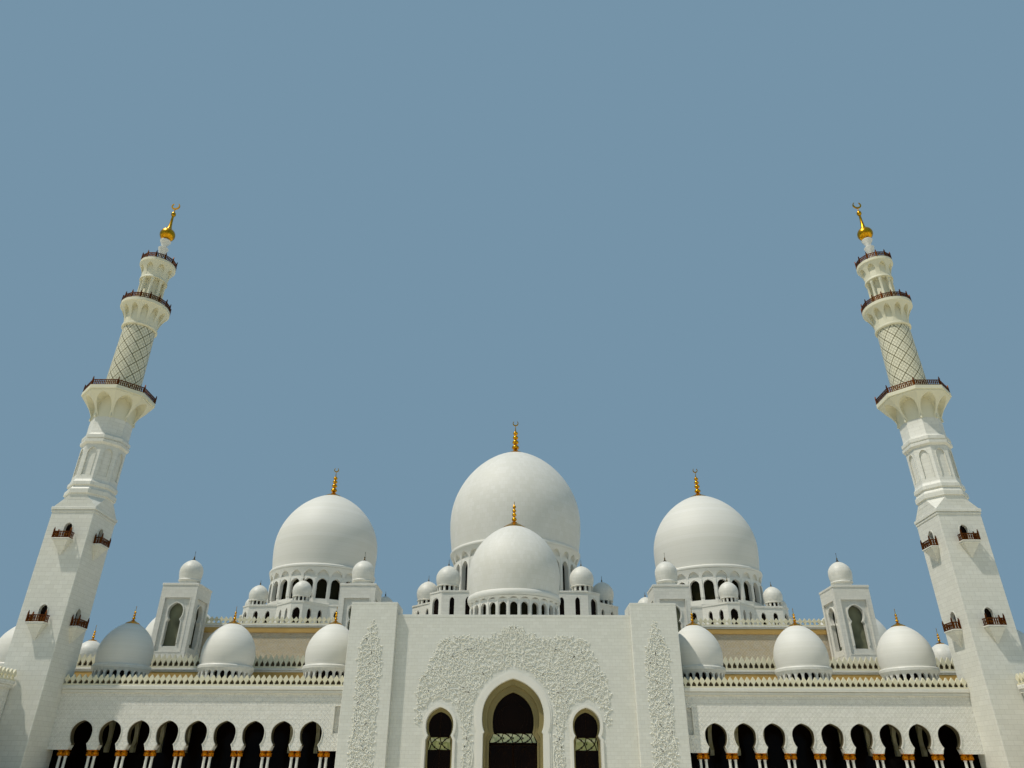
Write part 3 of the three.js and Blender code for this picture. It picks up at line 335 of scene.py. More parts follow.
arcade_wall = cut(block(ARCADE_NEAR, ARCADE_FAR, 0, WALL, ARCADE_FOOT, ARCADE_TOP - 0.1),
                  row(slab(arch(KEYHOLE, FIRST_ARCH_X), -1, 2), BAYS, (BAY, 0, 0)))
cut(arcade_wall, block(NICHE_SIDES[0][1], NICHE_SIDES[1][0], -1, 0.4, *NICHE_Z))
settle_pair(arcade_wall, "arcade_wall", lattice_marble, "white_marble", ["arcade_wall"])
trim = [row(frame_ring(KEYHOLE, 0.13, -0.09, 0.05, FIRST_ARCH_X), BAYS, (BAY, 0, 0)),
        block(ARCADE_NEAR, ARCADE_FAR, -0.3, 0.1, ARCADE_CORNICE_Z, 12.95, bevel=0.05),
        block(ARCADE_NEAR, ARCADE_FAR, -0.5, 0.1, 12.97, ARCADE_TOP, bevel=0.06)]
trim += [block(*side, -0.1, 0.1, *NICHE_FRAME_Z, bevel=0.03) for side in NICHE_SIDES]
settle_pair(joined(trim), "arcade_cornice_and_beads", wall_marble, "white_marble")
# The linings are painted dark brown as the shade that fills the arch reveals.
painted_shade_lining = stone_finish("reveal stone darkened as painted shade", "#5E563C", "#4E4630")
linings = row(frame_ring(KEYHOLE, 0.05, 0.12, 0.98, FIRST_ARCH_X, inner=-0.04), BAYS, (BAY, 0, 0))
settle_pair(linings, "arcade_arch_linings", painted_shade_lining, "carved_cream_stone")

# Twin columns of the arcades
# Slim shafts of white marble stand in pairs on a low plinth, each turned with a base and a collar.
# A gilt capital of palm leaves crowns each shaft, and one stone block ties a pair under its pier.
PLINTH_TOP = 0.6
CAPITAL_FOOT = 4.1
CAPITAL_TOP = 4.8
ABACUS_HALF = 0.77
PAIR_OFFSET = 0.4
COLUMN_Y = 0.5


def gold_finish(name, colour, worn, roughness, patches=26.0):
    """Gilt brass: leaf on cast metal, a little dulled in scattered patches."""
    finish, tree = new_finish(name)
    place = add_node(tree, "TexCoord").outputs["Object"]
    dulled = add_node(tree, "TexNoise", {"Vector": place, "Scale": patches, "Detail": 5.0, "Roughness": 0.65})
    mask = add_node(tree, "MapRange", {0: dulled, 1: 0.42, 2: 0.62, 3: 0.0, 4: 0.75})
    tint = add_node(tree, "Mix", {0: mask, 6: linear(colour), 7: linear(worn)}, data_type="RGBA")
    rough = add_node(tree, "MapRange", {
        0: dulled, 1: 0.3, 2: 0.7, 3: roughness, 4: roughness + 0.18})
    normal = add_node(tree, "Bump", {"Strength": 0.25, "Distance": 0.001, "Height": dulled})
    shader = add_node(tree, "BsdfPrincipled", {
        "Base Color": tint.outputs[2], "Metallic": 1.0, "Roughness": rough, "Normal": normal})
    add_node(tree, "OutputMaterial", {0: shader})
    return finish


gilt_brass = gold_finish("gilt brass leaf", "#E2A61E", "#8A5A10", 0.22)
aged_gilt = gold_finish("aged gilt and red-lacquered capital", "#E0951C", "#5C1A08", 0.42, 70.0)
column_marble = marble_finish("turned white column marble", "#E2E0D8", "#DCDAD0", 400, 400, roughness=0.25)


def turned(profile, sides, x=0.0, y=0.0, phase=0.0, closed=False):
    """Form turned round an upright axis from a line of (radius, height); a closed line makes a ring."""
    bpy.ops.mesh.primitive_circle_add(vertices=len(profile), location=(x, y, 0))
    piece = bpy.context.object
    for corner, (radius, z) in zip(piece.data.vertices, profile):
        corner.co = (radius * math.sin(phase), -radius * math.cos(phase), z)
    bpy.ops.object.mode_set(mode="EDIT")
    bpy.ops.mesh.select_all(action="DESELECT")
    bpy.ops.mesh.select_mode(type="EDGE")
    bpy.ops.object.mode_set(mode="OBJECT")
    if not closed:
        for edge in piece.data.edges:
            edge.select = set(edge.vertices) == {0, len(profile) - 1}
    bpy.ops.object.mode_set(mode="EDIT")
    if not closed:
        bpy.ops.mesh.delete(type="EDGE")
    bpy.ops.mesh.select_mode(type="VERT")
    bpy.ops.mesh.select_all(action="SELECT")
    bpy.ops.mesh.spin(steps=sides, angle=2 * math.pi, center=(x, y, 0), axis=(0, 0, 1))
    bpy.ops.mesh.select_all(action="SELECT")
    bpy.ops.mesh.remove_doubles(threshold=0.0005)
    bpy.ops.mesh.normals_make_consistent(inside=False)
    bpy.ops.object.mode_set(mode="OBJECT")
    bpy.ops.object.transform_apply(location=True, rotation=True, scale=True)
    return piece


def ring_of(piece, count, x=0.0, y=0.0):
    """Copies of a piece set round an upright axis."""
    alone(piece)
    bpy.ops.object.mode_set(mode="EDIT")
    bpy.ops.mesh.select_all(action="SELECT")
    bpy.ops.mesh.spin(steps=count - 1, dupli=True, angle=2 * math.pi * (count - 1) / count,
                      center=(x, y, 0), axis=(0, 0, 1))
    bpy.ops.object.mode_set(mode="OBJECT")
    return piece


def twin(piece, dx=0.0, dy=0.0):
    """Copy of a piece, moved."""
    copy = piece.copy()
    copy.data = piece.data.copy()
    bpy.context.collection.objects.link(copy)
    copy.data.transform(Matrix.Translation((dx, dy, 0)))
    return copy


def column_pair(middle):
    """Two shafts under one pier, and their two capitals under one stone."""
    shafts, capitals = [], []
    for x in (middle - PAIR_OFFSET, middle + PAIR_OFFSET):
        shafts.append(turned([(0, PLINTH_TOP - 0.02), (0.33, PLINTH_TOP - 0.02), (0.33, 0.72), (0.28, 0.78),
                              (0.3, 0.86), (0.24, 0.96), (0.205, 1.05), (0.21, 2.4), (0.185, 3.92),
                              (0.24, 3.98), (0.24, 4.06), (0.19, 4.12), (0, 4.12)], 14, x, COLUMN_Y))
        capitals.append(turned([
            (0, CAPITAL_FOOT), (0.23, CAPITAL_FOOT), (0.2, 4.17), (0.3, 4.3), (0.39, 4.44), (0.4, 4.56),
            (0.33, 4.68), (0.3, 4.74), (0.36, CAPITAL_TOP), (0, CAPITAL_TOP)], 12, x, COLUMN_Y))
        leaf = slab([(-0.05, 4.16), (0.05, 4.16), (0.09, 4.4), (0.0, 4.62), (-0.09, 4.4)], -0.45, -0.24)
        leaf.data.transform(Matrix.Translation((x, COLUMN_Y, 0)))
        capitals.append(ring_of(leaf, 8, x, COLUMN_Y))
    abacus = block(middle - ABACUS_HALF, middle + ABACUS_HALF, COLUMN_Y - 0.4, COLUMN_Y + 0.4, CAPITAL_TOP,
                   ARCADE_FOOT - BED, bevel=0.02)
    return joined(shafts), joined(capitals + [abacus])


shafts, capitals = column_pair(FIRST_ARCH_X - BAY / 2)
row(shafts, BAYS + 1, (BAY, 0, 0))
row(capitals, BAYS + 1, (BAY, 0, 0))
plinth = block(ARCADE_NEAR, ARCADE_FAR, 0, WALL, FLOOR_TOP, PLINTH_TOP, bevel=0.04)
settle_pair(joined([shafts, plinth]), "arcade_columns", column_marble, "white_marble", ["arcade_colonnade"],
            smooth=40)
settle_pair(capitals, "arcade_capitals", aged_gilt, "gilt_brass", smooth=40)

# Walk behind the arches
# Plastered ribs spring across the walk from each pier to the wall behind, each a wide keyhole arch.
# The wall behind the walk is closed with glass doors, painted near black as the shade of the hall behind.
WALK_BACK = 13.9
ARCADE_MIDDLE_Y = 7.0
RIB_FRONT = 1.1
RIB_BACK = 12.9
RIB_TOP = 12.78
RIB = dict(KEYHOLE, foot=5.6, sill=FLOOR_TOP, foot_z=4.9, neck=5.1, neck_z=5.67, wide=5.6, wide_z=7.15,
           apex=11.2)
# The rib marble is tinted darker and olive as painted shade under the arcade roof.
painted_shade_rib_marble = marble_finish("rib marble darkened as painted shade", "#B9B48C", "#AFA981", 120, 60)


def dark_glass_finish(name, tint, roughness=0.08):
    """Bronze-tinted door glass, painted nearly black as shade of the dark hall behind: smooth, with a faint
    waviness.
    """
    finish, tree = new_finish(name)
    place = add_node(tree, "TexCoord").outputs["Object"]
    wave = add_node(tree, "TexNoise", {"Vector": place, "Scale": 3.0, "Detail": 2.0})
    shade = add_node(tree, "Mix", {
        0: wave, 6: linear(tint), 7: linear("#0A0806")}, data_type="RGBA")
    normal = add_node(tree, "Bump", {"Strength": 0.04, "Distance": 0.004, "Height": wave})
    shader = add_node(tree, "BsdfPrincipled", {
        "Base Color": shade.outputs[2], "Roughness": roughness, "IOR": 1.45, "Specular IOR Level": 0.06,
        "Normal": normal})
    add_node(tree, "OutputMaterial", {0: shader})
    return finish


# Its near-black colour is painted shade of the dark rooms behind the glass, over a real bronze tint.
dark_glass = dark_glass_finish("bronze glass with painted shade", "#1E120A")
rib = cut(slab([(RIB_FRONT, ARCADE_FOOT), (RIB_BACK, ARCADE_FOOT), (RIB_BACK, RIB_TOP), (RIB_FRONT, RIB_TOP)],
               -0.3, 0.3), slab(arch(dict(RIB, sill=ARCADE_FOOT, foot=5.3), ARCADE_MIDDLE_Y), -1, 1))
rib.data.transform(Matrix.Rotation(math.pi / 2, 4, "Z"))
rib.data.transform(Matrix.Translation((FIRST_ARCH_X - BAY / 2, 0, 0)))
settle_pair(row(rib, BAYS + 1, (BAY, 0, 0)), "arcade_cross_ribs", painted_shade_rib_marble, "white_marble")
# A near-black glass sheet closes the back of the walk; its black is painted shade of the hall.
settle_pair(block(25.3, 85.3, WALK_BACK - 0.1, WALK_BACK, FLOOR_TOP + BED, 12.75), "arcade_back_doors",
            dark_glass, "dark_glass")

# Parapets of the arcades
# A row of merlons cut from cream stone, each a pointed leaf on a narrow stem, with drop-shaped gaps between
# them.
# They stand on a low rail over the cornice; the upstand closing the gutter behind them is painted dark brown
# as shade.
PARAPET_THICK = 0.3
PARAPET_OUT = 0.4
ARCADE_PARAPET_TOP = 15.05
GUTTER_TOP = 14.45
MERLON_PITCH = 0.85
cream_stone = stone_finish("carved cream stone", "#E0DBC4", "#CBC4A2")
# The gutter stone is painted dark brown as the shade behind the merlons.
painted_shade_gutter_stone = stone_finish("dark gutter stone as painted shade", "#54462A", "#40341E")


def merlon_row(length, foot, top, pitch):
    """Row of pointed merlons on a rail, from x = 0, with its front at y = 0."""
    count = round(length / pitch)
    step = length / count
    rise = top - foot
    rail = 0.14 * rise
    half = [(0.2, 0.0), (0.13, 0.1), (0.13, 0.26), (0.4, 0.47), (0.5, 0.55), (0.4, 0.66), (0.12, 0.9)]
    right = [(x * step, foot + rail * 0.5 + z * (rise - rail * 0.5)) for x, z in half]
    outline = [(-x, z) for x, z in right] + [(0, top)] + list(reversed(right))
    merlon = slab([(x + step / 2, z) for x, z in outline], 0, PARAPET_THICK)
    row(merlon, count, (step, 0, 0))
    return joined([merlon, block(0, length, -0.06, PARAPET_THICK + 0.06, foot, foot + rail)])


def placed(piece, x, y, quarters=0):
    """A piece drawn at the axis, turned by right angles and set at its place."""
    turn = Matrix.Rotation(quarters * math.pi / 2, 4, "Z")
    piece.data.transform(Matrix.Translation((x, y, 0)) @ turn)
    return piece


arcade_merlons = placed(merlon_row(ARCADE_FAR - ARCADE_NEAR, ARCADE_TOP + BED, ARCADE_PARAPET_TOP,
                                   MERLON_PITCH), ARCADE_NEAR, -PARAPET_OUT)
settle_pair(block(ARCADE_NEAR, ARCADE_FAR, 0.0, 0.1, ARCADE_TOP + BED, GUTTER_TOP, bevel=0.02),
            "arcade_gutter", painted_shade_gutter_stone, "carved_cream_stone")
settle_pair(arcade_merlons, "arcade_parapet", cream_stone, "carved_cream_stone", ["arcade_parapet"], smooth=0)

# Roofs and domes of the arcades
# Flat roof slabs carry a marble-clad dome over the first, middle and last bays and the corner of the return.
# Each stands on a low drum of slender piers with arched slots, under a plain white ring.
ROOF_FOOT = 12.8
ROOF_TOP = 13.3
LOWER_FRONT = 14.0
RETURN_X = 72.0
ARCADE_DOME = {"drum": 4.05, "ring": 4.35, "ring_z": 16.4, "spring": 17.1, "base": 3.95, "wide": 4.17,
               "wide_z": 18.8, "top": 23.9, "tip": 26.5, "disc": 1.1}
DOME_PLACES = [(FIRST_ARCH_X + BAY * bay, ARCADE_MIDDLE_Y) for bay in (0, 4, 8, 12)]
DRUM_SLOT = {"foot": 0.33, "sill": 13.8, "wide": 0.33, "wide_z": 15.7, "apex": 16.15}
POINTEDNESS = 1.24


def dome_finish(name, course_mm, centre=None, slabs_round=0):
    """White marble cladding of a dome: curved slabs in level courses, rubbed smooth, with fine joints."""
    finish, tree = new_finish(name)
    place = add_node(tree, "TexCoord").outputs["Object"]
    if centre:
        axis = (-MODEL_SCALE * centre[0], -MODEL_SCALE * centre[1] - MODEL_SHIFT_Y, 0)
        place = add_node(tree, "Mapping", {"Vector": place, "Location": axis})
    xyz = add_node(tree, "SeparateXYZ", {0: place}).outputs
    angle = add_node(tree, "Math", {0: xyz[1], 1: xyz[0]}, operation="ARCTAN2")
    turns = add_node(tree, "Math", {
        0: angle, 1: max(slabs_round, 1) / (2 * math.pi)}, operation="MULTIPLY")
    courses = add_node(tree, "Math", {0: xyz[2], 1: 1000 / course_mm}, operation="MULTIPLY")
    along = turns if slabs_round else 250.0
    unrolled = add_node(tree, "CombineXYZ", {0: along, 1: courses})
    slabs = add_node(tree, "TexBrick", {
        "Vector": unrolled, "Color1": linear("#DBD9D1"), "Color2": linear("#D5D3C9"),
        "Mortar": linear("#CBC8BB"), "Scale": 1.0, "Mortar Size": 0.02, "Mortar Smooth": 0.6,
        "Brick Width": 1.0 if slabs_round else 1000.0, "Row Height": 1.0})
    cloud = add_node(tree, "TexNoise", {"Vector": place, "Scale": 1.6, "Detail": 5.0, "Roughness": 0.55})
    mask = add_node(tree, "MapRange", {0: cloud, 1: 0.45, 2: 0.75, 3: 0.0, 4: 0.25})
    stone = add_node(tree, "Mix", {
        0: mask, 6: slabs.outputs["Color"], 7: linear("#CFCBBC")}, data_type="RGBA")
    sunk = add_node(tree, "Math", {0: 1.0, 1: slabs.outputs["Fac"]}, operation="SUBTRACT")
    normal = add_node(tree, "Bump", {"Strength": 0.12, "Distance": 0.001, "Height": sunk})
    shader = add_node(tree, "BsdfPrincipled", {
        "Base Color": stone.outputs[2], "Roughness": 0.62, "IOR": 1.49, "Normal": normal})
    add_node(tree, "OutputMaterial", {0: shader})
    return finish


def dome_line(spec, steps=22):
    """Line of a dome from its foot, swelling to its widest and drawn in to its crown."""
    line = []
    for i in range(6):
        t = i / 6
        bulge = math.sin(t * math.pi / 2)
        line.append((spec["base"] + (spec["wide"] - spec["base"]) * bulge,
                     spec["spring"] + (spec["wide_z"] - spec["spring"]) * t))
    rise = spec["top"] - spec["wide_z"]
    for i in range(steps + 1):
        angle = math.pi / 2 * i / steps
        line.append((spec["wide"] * max(math.cos(angle), 0) ** POINTEDNESS,
                     spec["wide_z"] + rise * math.sin(angle)))
    line[-1] = (0, spec["top"])
    return line


def crown_height(spec, reach):
    """Height of a dome's outer face at a distance from its axis, over its widest line."""
    level = (reach / spec["wide"]) ** (1 / POINTEDNESS)
    return spec["wide_z"] + (spec["top"] - spec["wide_z"]) * math.sqrt(1 - level ** 2)


def crescent(x, y, z, radius):
    """Flat crescent that stands with its horns up."""
    outline = []
    for i in range(19):
        angle = math.radians(-235 + i * 290 / 18)
        outline.append((x + radius * math.cos(angle), z + radius * math.sin(angle)))
    for i in range(15):
        angle = math.radians(48 - i * 276 / 14)
        outline.append((x + 0.74 * radius * math.cos(angle),
                        z + 0.14 * radius + 0.74 * radius * math.sin(angle)))
    return slab(outline, y - 0.1, y + 0.1)


def finial(spec, x, y, beads=3, moon=False):
    """Finial of turned beads on a flared plate over the crown, and a crescent if it carries a moon."""
    foot = spec["top"]
    rise = spec["tip"] - foot
    disc = spec["disc"]
    rim = crown_height(spec, disc)
    line = [(0, foot - 0.3), (0.9 * disc, rim - 0.08), (disc, rim + 0.02), (disc, rim + 0.12),
            (0.62 * disc, foot + 0.06 * disc), (0.38 * disc, foot + 0.16 * disc),
            (0.22 * disc, foot + 0.32 * disc)]
    z = foot + 0.38 * disc
    size, height = 0.1 * rise, 0.19 * rise
    point = spec["tip"] - (0.16 * rise if moon else 0)
    height *= (point - foot) / rise
    for _ in range(beads):
        line += [(0.35 * size, z), (0.6 * size, z + 0.12 * height), (0.92 * size, z + 0.3 * height),
                 (size, z + 0.48 * height), (0.88 * size, z + 0.68 * height), (0.5 * size, z + 0.88 * height)]
        z += height
        size *= 0.88
        height *= 0.92
    line += [(0.3 * size, z), (0.2 * size, (z + point) / 2), (0.05, point), (0, point)]
    pieces = [turned(line, 20, x, y)]
    if moon:
        pieces.append(crescent(x, y, spec["tip"] - 0.08 * rise, 0.08 * rise))
    return joined(pieces)


def slotted_drum(spec, slots):
    """Low drum of piers with arched slots about the origin, and the ring over it."""
    inner = spec["drum"] - 0.45
    wall = turned([(inner, ROOF_TOP - 0.1), (spec["drum"], ROOF_TOP - 0.1),
                   (spec["drum"], spec["ring_z"] - 0.35), (spec["ring"] - 0.1, spec["ring_z"]),
                   (inner, spec["ring_z"])], 2 * slots, closed=True)
    slot = slab(arch(DRUM_SLOT, steps=3), -spec["drum"] - 1, -spec["drum"] + 0.8)
    wall = cut(wall, ring_of(slot, slots))
    middle = (spec["ring_z"] + spec["spring"]) / 2
    ring = turned([(spec["ring"] - 0.6, spec["ring_z"]), (spec["ring"] - 0.12, spec["ring_z"]),
                   (spec["ring"], (spec["ring_z"] + middle) / 2),
                   (spec["ring"], (spec["spring"] + middle) / 2), (spec["ring"] - 0.12, spec["spring"]),
                   (spec["ring"] - 0.6, spec["spring"])], 2 * slots, closed=True)
    return joined([wall, ring])


small_dome_marble = dome_finish("small dome marble", 45)
shell_foot = ARCADE_DOME["spring"] - 0.1
patterns = [turned([(0, shell_foot), (ARCADE_DOME["base"], shell_foot)] + dome_line(ARCADE_DOME), 56),
            slotted_drum(ARCADE_DOME, 24), turned([(0, 13.4), (3.45, 13.4), (3.45, 16.5), (0, 16.5)], 24),
            finial(ARCADE_DOME, 0, 0)]
shells, drums, glasses, finials = [joined([twin(pattern, x, y) for x, y in DOME_PLACES])
                                   for pattern in patterns]
for pattern in patterns:
    bpy.data.objects.remove(pattern)
settle_pair(shells, "arcade_domes", small_dome_marble, "white_marble")
settle_pair(glasses, "arcade_drum_glass", dark_glass, "dark_glass")
settle_pair(finials, "arcade_finials", gilt_brass, "gilt_brass", smooth=40)
roof = cut(block(ARCADE_NEAR, RETURN_X - BED, WALL + BED, LOWER_FRONT - BED, ROOF_FOOT, ROOF_TOP),
           block(MINARET_NEAR_X, MINARET_FAR_X, MINARET_FRONT, MINARET_BACK + BED, 10, 20))
nook = block(PORTAL_HALF + BED, ARCADE_NEAR + 0.05, PYLON_BACK + BED, LOWER_FRONT - BED, ROOF_FOOT, ROOF_TOP)
settle_pair(joined([drums, roof, nook]), "arcade_roof", wall_marble, "white_marble", ["arcade_roof"])

# Return arcades
# At each end the arcade turns to the front with three more bays, closed by an outer wall and an end wall.
# They are built and faced as the front arcade is, with blind keyhole niches where no walk runs behind.
OUTER_X = 86.4
RETURN_FRONT = -17.77
RETURN_END = -5.2
RETURN_LENGTH = RETURN_END - RETURN_FRONT - BED
RETURN_FIRST_ARCH = RETURN_LENGTH - 2.5 * BAY
OUTER_LENGTH = LOWER_FRONT - BED - RETURN_FRONT
END_LENGTH = OUTER_X - RETURN_X
BLIND_DEPTH = 0.35


def all_placed(pieces, x, y, quarters=0):
    """Pieces drawn at the axis, turned by right angles and set at their place."""
    return [placed(piece, x, y, quarters) for piece in pieces]


def inner_face(pieces):
    """Pieces drawn facing the front, turned to face the middle and set on the return's inner side."""
    return all_placed(pieces, RETURN_X, RETURN_END - BED, -1)


def cornice(length, reach, foot, top):
    """Two fascias under a parapet, the upper one further out."""
    middle = foot + 0.45 * (top - foot)
    return [block(0, length, -0.6 * reach, 0.1, foot, middle, bevel=0.04),
            block(0, length, -reach, 0.1, middle + 0.02, top, bevel=0.05)]


def blind_arcade(length, foot, top, first, count, pitch, spec, thick=WALL, depth=BLIND_DEPTH):
    """Wall with a row of shallow blind arches, each with a raised bead."""
    wall = block(0, length, 0, thick, foot, top)
    niches = row(slab(arch(spec, first, steps=6), -1, depth), count, (pitch, 0, 0))
    beads = row(frame_ring(spec, 0.18, -0.07, 0.05, first, steps=6), count, (pitch, 0, 0))
    return [cut(wall, niches), beads]


return_wall = cut(block(0, RETURN_LENGTH, 0, WALL, ARCADE_FOOT, ARCADE_TOP - 0.1),
                  row(slab(arch(KEYHOLE, RETURN_FIRST_ARCH), -1, 2), 3, (BAY, 0, 0)))
end_niche = dict(KEYHOLE, sill=1.2, foot=1.3)
inner_parts = inner_face(
    [return_wall, row(frame_ring(KEYHOLE, 0.2, -0.09, 0.05, RETURN_FIRST_ARCH), 3, (BAY, 0, 0))]
    + [block(x, x + 0.5, 0.003, WALL, FLOOR_TOP, ARCADE_FOOT) for x in (0, RETURN_LENGTH - 0.5)]
    + cornice(RETURN_LENGTH, 0.5, ARCADE_CORNICE_Z, ARCADE_TOP))
outer_parts = blind_arcade(OUTER_LENGTH, FLOOR_TOP, ARCADE_TOP - 0.1, (OUTER_LENGTH - 6 * BAY) / 2, 7, BAY,
                           end_niche)
outer_parts = all_placed(outer_parts + cornice(OUTER_LENGTH, 0.4, ARCADE_CORNICE_Z, ARCADE_TOP), OUTER_X,
                         RETURN_FRONT, 1)
end_parts = blind_arcade(END_LENGTH, FLOOR_TOP, ARCADE_TOP - 0.1, 3.01, 3, BAY, end_niche, thick=0.65)
end_parts = all_placed(end_parts + cornice(END_LENGTH, 0.35, ARCADE_CORNICE_Z, ARCADE_TOP), RETURN_X,
                       RETURN_FRONT + 0.35)
kerb = turned([(3.4, ROOF_TOP - 0.1), (4.35, ROOF_TOP - 0.1), (4.35, ARCADE_TOP), (3.4, ARCADE_TOP)], 48,
              *DOME_PLACES[-1], closed=True)
minaret_clearance = block(MINARET_NEAR_X, MINARET_FAR_X + BED, MINARET_FRONT - BED, MINARET_BACK + BED, 0, 20)
return_roof = cut(block(RETURN_X + 0.05, OUTER_X - 0.9, RETURN_FRONT + 0.9, LOWER_FRONT - BED, ROOF_FOOT,
                        ROOF_TOP), minaret_clearance)
settle_pair(joined(inner_parts + outer_parts + end_parts + [kerb, return_roof]), "return_arcade",
            lattice_marble, "white_marble", ["return_arcade"])
pair_shafts, pair_capitals = column_pair(RETURN_FIRST_ARCH + BAY / 2)
return_plinth = block(0.5, RETURN_LENGTH - 0.5, 0, WALL, FLOOR_TOP, PLINTH_TOP, bevel=0.04)
settle_pair(joined(inner_face([row(pair_shafts, 2, (BAY, 0, 0)), return_plinth])), "return_columns",
            column_marble, "white_marble", smooth=40)
settle_pair(joined(inner_face([row(pair_capitals, 2, (BAY, 0, 0))])), "return_capitals", aged_gilt,
            "gilt_brass", smooth=40)
inner_merlons, outer_merlons, end_merlons = [
    merlon_row(length, ARCADE_TOP + BED, ARCADE_PARAPET_TOP, MERLON_PITCH)
    for length in (RETURN_LENGTH, OUTER_LENGTH, END_LENGTH - 1)]
return_merlons = inner_face([placed(inner_merlons, 0, -PARAPET_OUT)])
return_merlons.append(placed(placed(outer_merlons, 0, -0.3), OUTER_X, RETURN_FRONT, 1))
return_merlons.append(placed(end_merlons, RETURN_X + 0.5, RETURN_FRONT + 0.12))
settle_pair(joined(return_merlons), "return_parapet", cream_stone, "carved_cream_stone", smooth=0)

# Portal wall and its frames
# A tall wall of veined white marble in level courses, with the gate and a doorway on each side of it.
# Each opening has a broad raised frame of two steps, and a reveal of warm stone behind it, browned partly as
# painted shade.
PORTAL_WALL = 1.5
PORTAL_TOP = 24.0
PORTAL_EDGE = PORTAL_HALF - BED
GATE = {"foot": 4.35, "sill": FLOOR_TOP, "foot_z": 7.2, "neck": 4.16, "neck_z": 7.5, "wide": 4.535,
        "wide_z": 9.4, "apex": 14.7}
SIDE_DOOR = {"foot": 1.95, "sill": FLOOR_TOP, "foot_z": 6.4, "neck": 1.65, "neck_z": 7.0, "wide": 2.0,
             "wide_z": 8.4, "apex": 10.75}
INNER_GATE = {"foot": 3.53, "sill": FLOOR_TOP, "foot_z": 6.3, "neck": 2.85, "neck_z": 7.45, "wide": 3.05,
              "wide_z": 9.0, "apex": 13.0}
SIDE_DOOR_X = 10.7
FRAME_REACH = 0.22
GATE_FRAME = 1.18
DOOR_FRAME = 0.5
REVEAL_HALF = 4.9
REVEAL_TOP = 15.2
INNER_REVEAL_HALF = 5.28
INNER_REVEAL_TOP = 15.5
portal_marble = marble_finish("coursed portal marble", "#D9D9D0", "#D2D2C8", 100, 50, joint_mm=1.3)
# The reveal colour is a warmer stone, darkened further to olive brown as painted shade of the deep recess.
reveal_stone_with_painted_shade = stone_finish("warm reveal stone with painted shade", "#8F8456", "#75693E")
frame_marble = stone_finish("rubbed white frame marble", "#E2E0D8", "#D6D4C9")

portal_screen = block(-PORTAL_EDGE, PORTAL_EDGE, 0, PORTAL_WALL, FLOOR_TOP, PORTAL_TOP)
cut(portal_screen, slab(arch(GATE, steps=16), -1, 3))
for side in (-1, 1):
    cut(portal_screen, slab(arch(SIDE_DOOR, side * SIDE_DOOR_X, steps=12), -1, 3))
coping = block(-PORTAL_EDGE, PORTAL_EDGE, -0.02, PORTAL_WALL, 23.6, PORTAL_TOP, bevel=0.01)
settle(joined([portal_screen, coping]), "portal_wall", portal_marble, "white_marble",
       ["portal_gate_wall", "portal_wall_left", "portal_wall_right"])
frames = [frame_ring(GATE, GATE_FRAME, -0.5 * FRAME_REACH, 0.05, steps=16),
          frame_ring(GATE, 0.86, -FRAME_REACH, 0.05, steps=16, inner=0.06),
          frame_ring(GATE, 0.1, -0.02, 0.3, steps=16)]
for side in (-1, 1):
    frames += [frame_ring(SIDE_DOOR, DOOR_FRAME, -0.5 * FRAME_REACH, 0.05, side * SIDE_DOOR_X, steps=12),
               frame_ring(SIDE_DOOR, 0.34, -FRAME_REACH, 0.05, side * SIDE_DOOR_X, steps=12, inner=0.04)]
settle(joined(frames), "portal_frames", frame_marble, "white_marble")
MIDDLE_GATE = {"foot": 4.0, "sill": FLOOR_TOP, "foot_z": 6.75, "neck": 3.55, "neck_z": 7.48, "wide": 3.85,
               "wide_z": 9.2, "apex": 13.9}
middle_step = cut(block(-REVEAL_HALF, REVEAL_HALF, 0.75, PORTAL_WALL, FLOOR_TOP, REVEAL_TOP),
                  slab(arch(MIDDLE_GATE, steps=16), -1, 3))
inner_step = cut(block(-INNER_REVEAL_HALF, INNER_REVEAL_HALF, PORTAL_WALL + BED, 2.5, FLOOR_TOP,
                       INNER_REVEAL_TOP), slab(arch(INNER_GATE, steps=16), -1, 3))
inner_bead = frame_ring(INNER_GATE, 0.14, PORTAL_WALL - 0.06, PORTAL_WALL + 0.1, steps=16, inner=0.08)
INNER_DOOR = {"foot": 1.68, "sill": FLOOR_TOP, "foot_z": 6.2, "neck": 1.42, "neck_z": 6.95, "wide": 1.72,
              "wide_z": 8.3, "apex": 10.2}
door_steps = [cut(block(x - 2.3, x + 2.3, 1.05, 1.42, FLOOR_TOP, 11.0),
                  slab(arch(INNER_DOOR, x, steps=12), -1, 3)) for x in (-SIDE_DOOR_X, SIDE_DOOR_X)]
settle(joined([middle_step, inner_step, inner_bead] + door_steps), "gate_reveal", reveal_stone_with_painted_shade,
       "carved_cream_stone", ["inner_gate_arch"])
finish_node("portal_porch", wall_marble)

# Pylons
# Two solid-looking towers flank the portal wall, clad in the same coursed marble, with a coping nearly flush.
# Their front faces carry an upright panel of carved flowers.
PYLON_FRONT = -1.05
PYLON_TOP = 25.65
pylon = block(PORTAL_HALF, PYLON_OUTER - BED, PYLON_FRONT, PYLON_BACK, FLOOR_TOP, PYLON_TOP - 0.3, bevel=0.05)
pylon_cap = block(PORTAL_HALF, PYLON_OUTER - BED, PYLON_FRONT - 0.02, PYLON_BACK, PYLON_TOP - 0.35, PYLON_TOP,
                  bevel=0.02)
settle_pair(joined([pylon, pylon_cap]), "pylon", portal_marble, "white_marble", ["pylon"])

# Carved flowers of the portal
# Flowers, leaves and winding stems of white marble are inlaid in relief over the gate and up the pylons.
# The layout is a plain scatter of one flower, one leaf and one stem, turned and scaled by a seeded draw.
FLOWER_REACH = 0.3
flower_draw = random.Random(11)


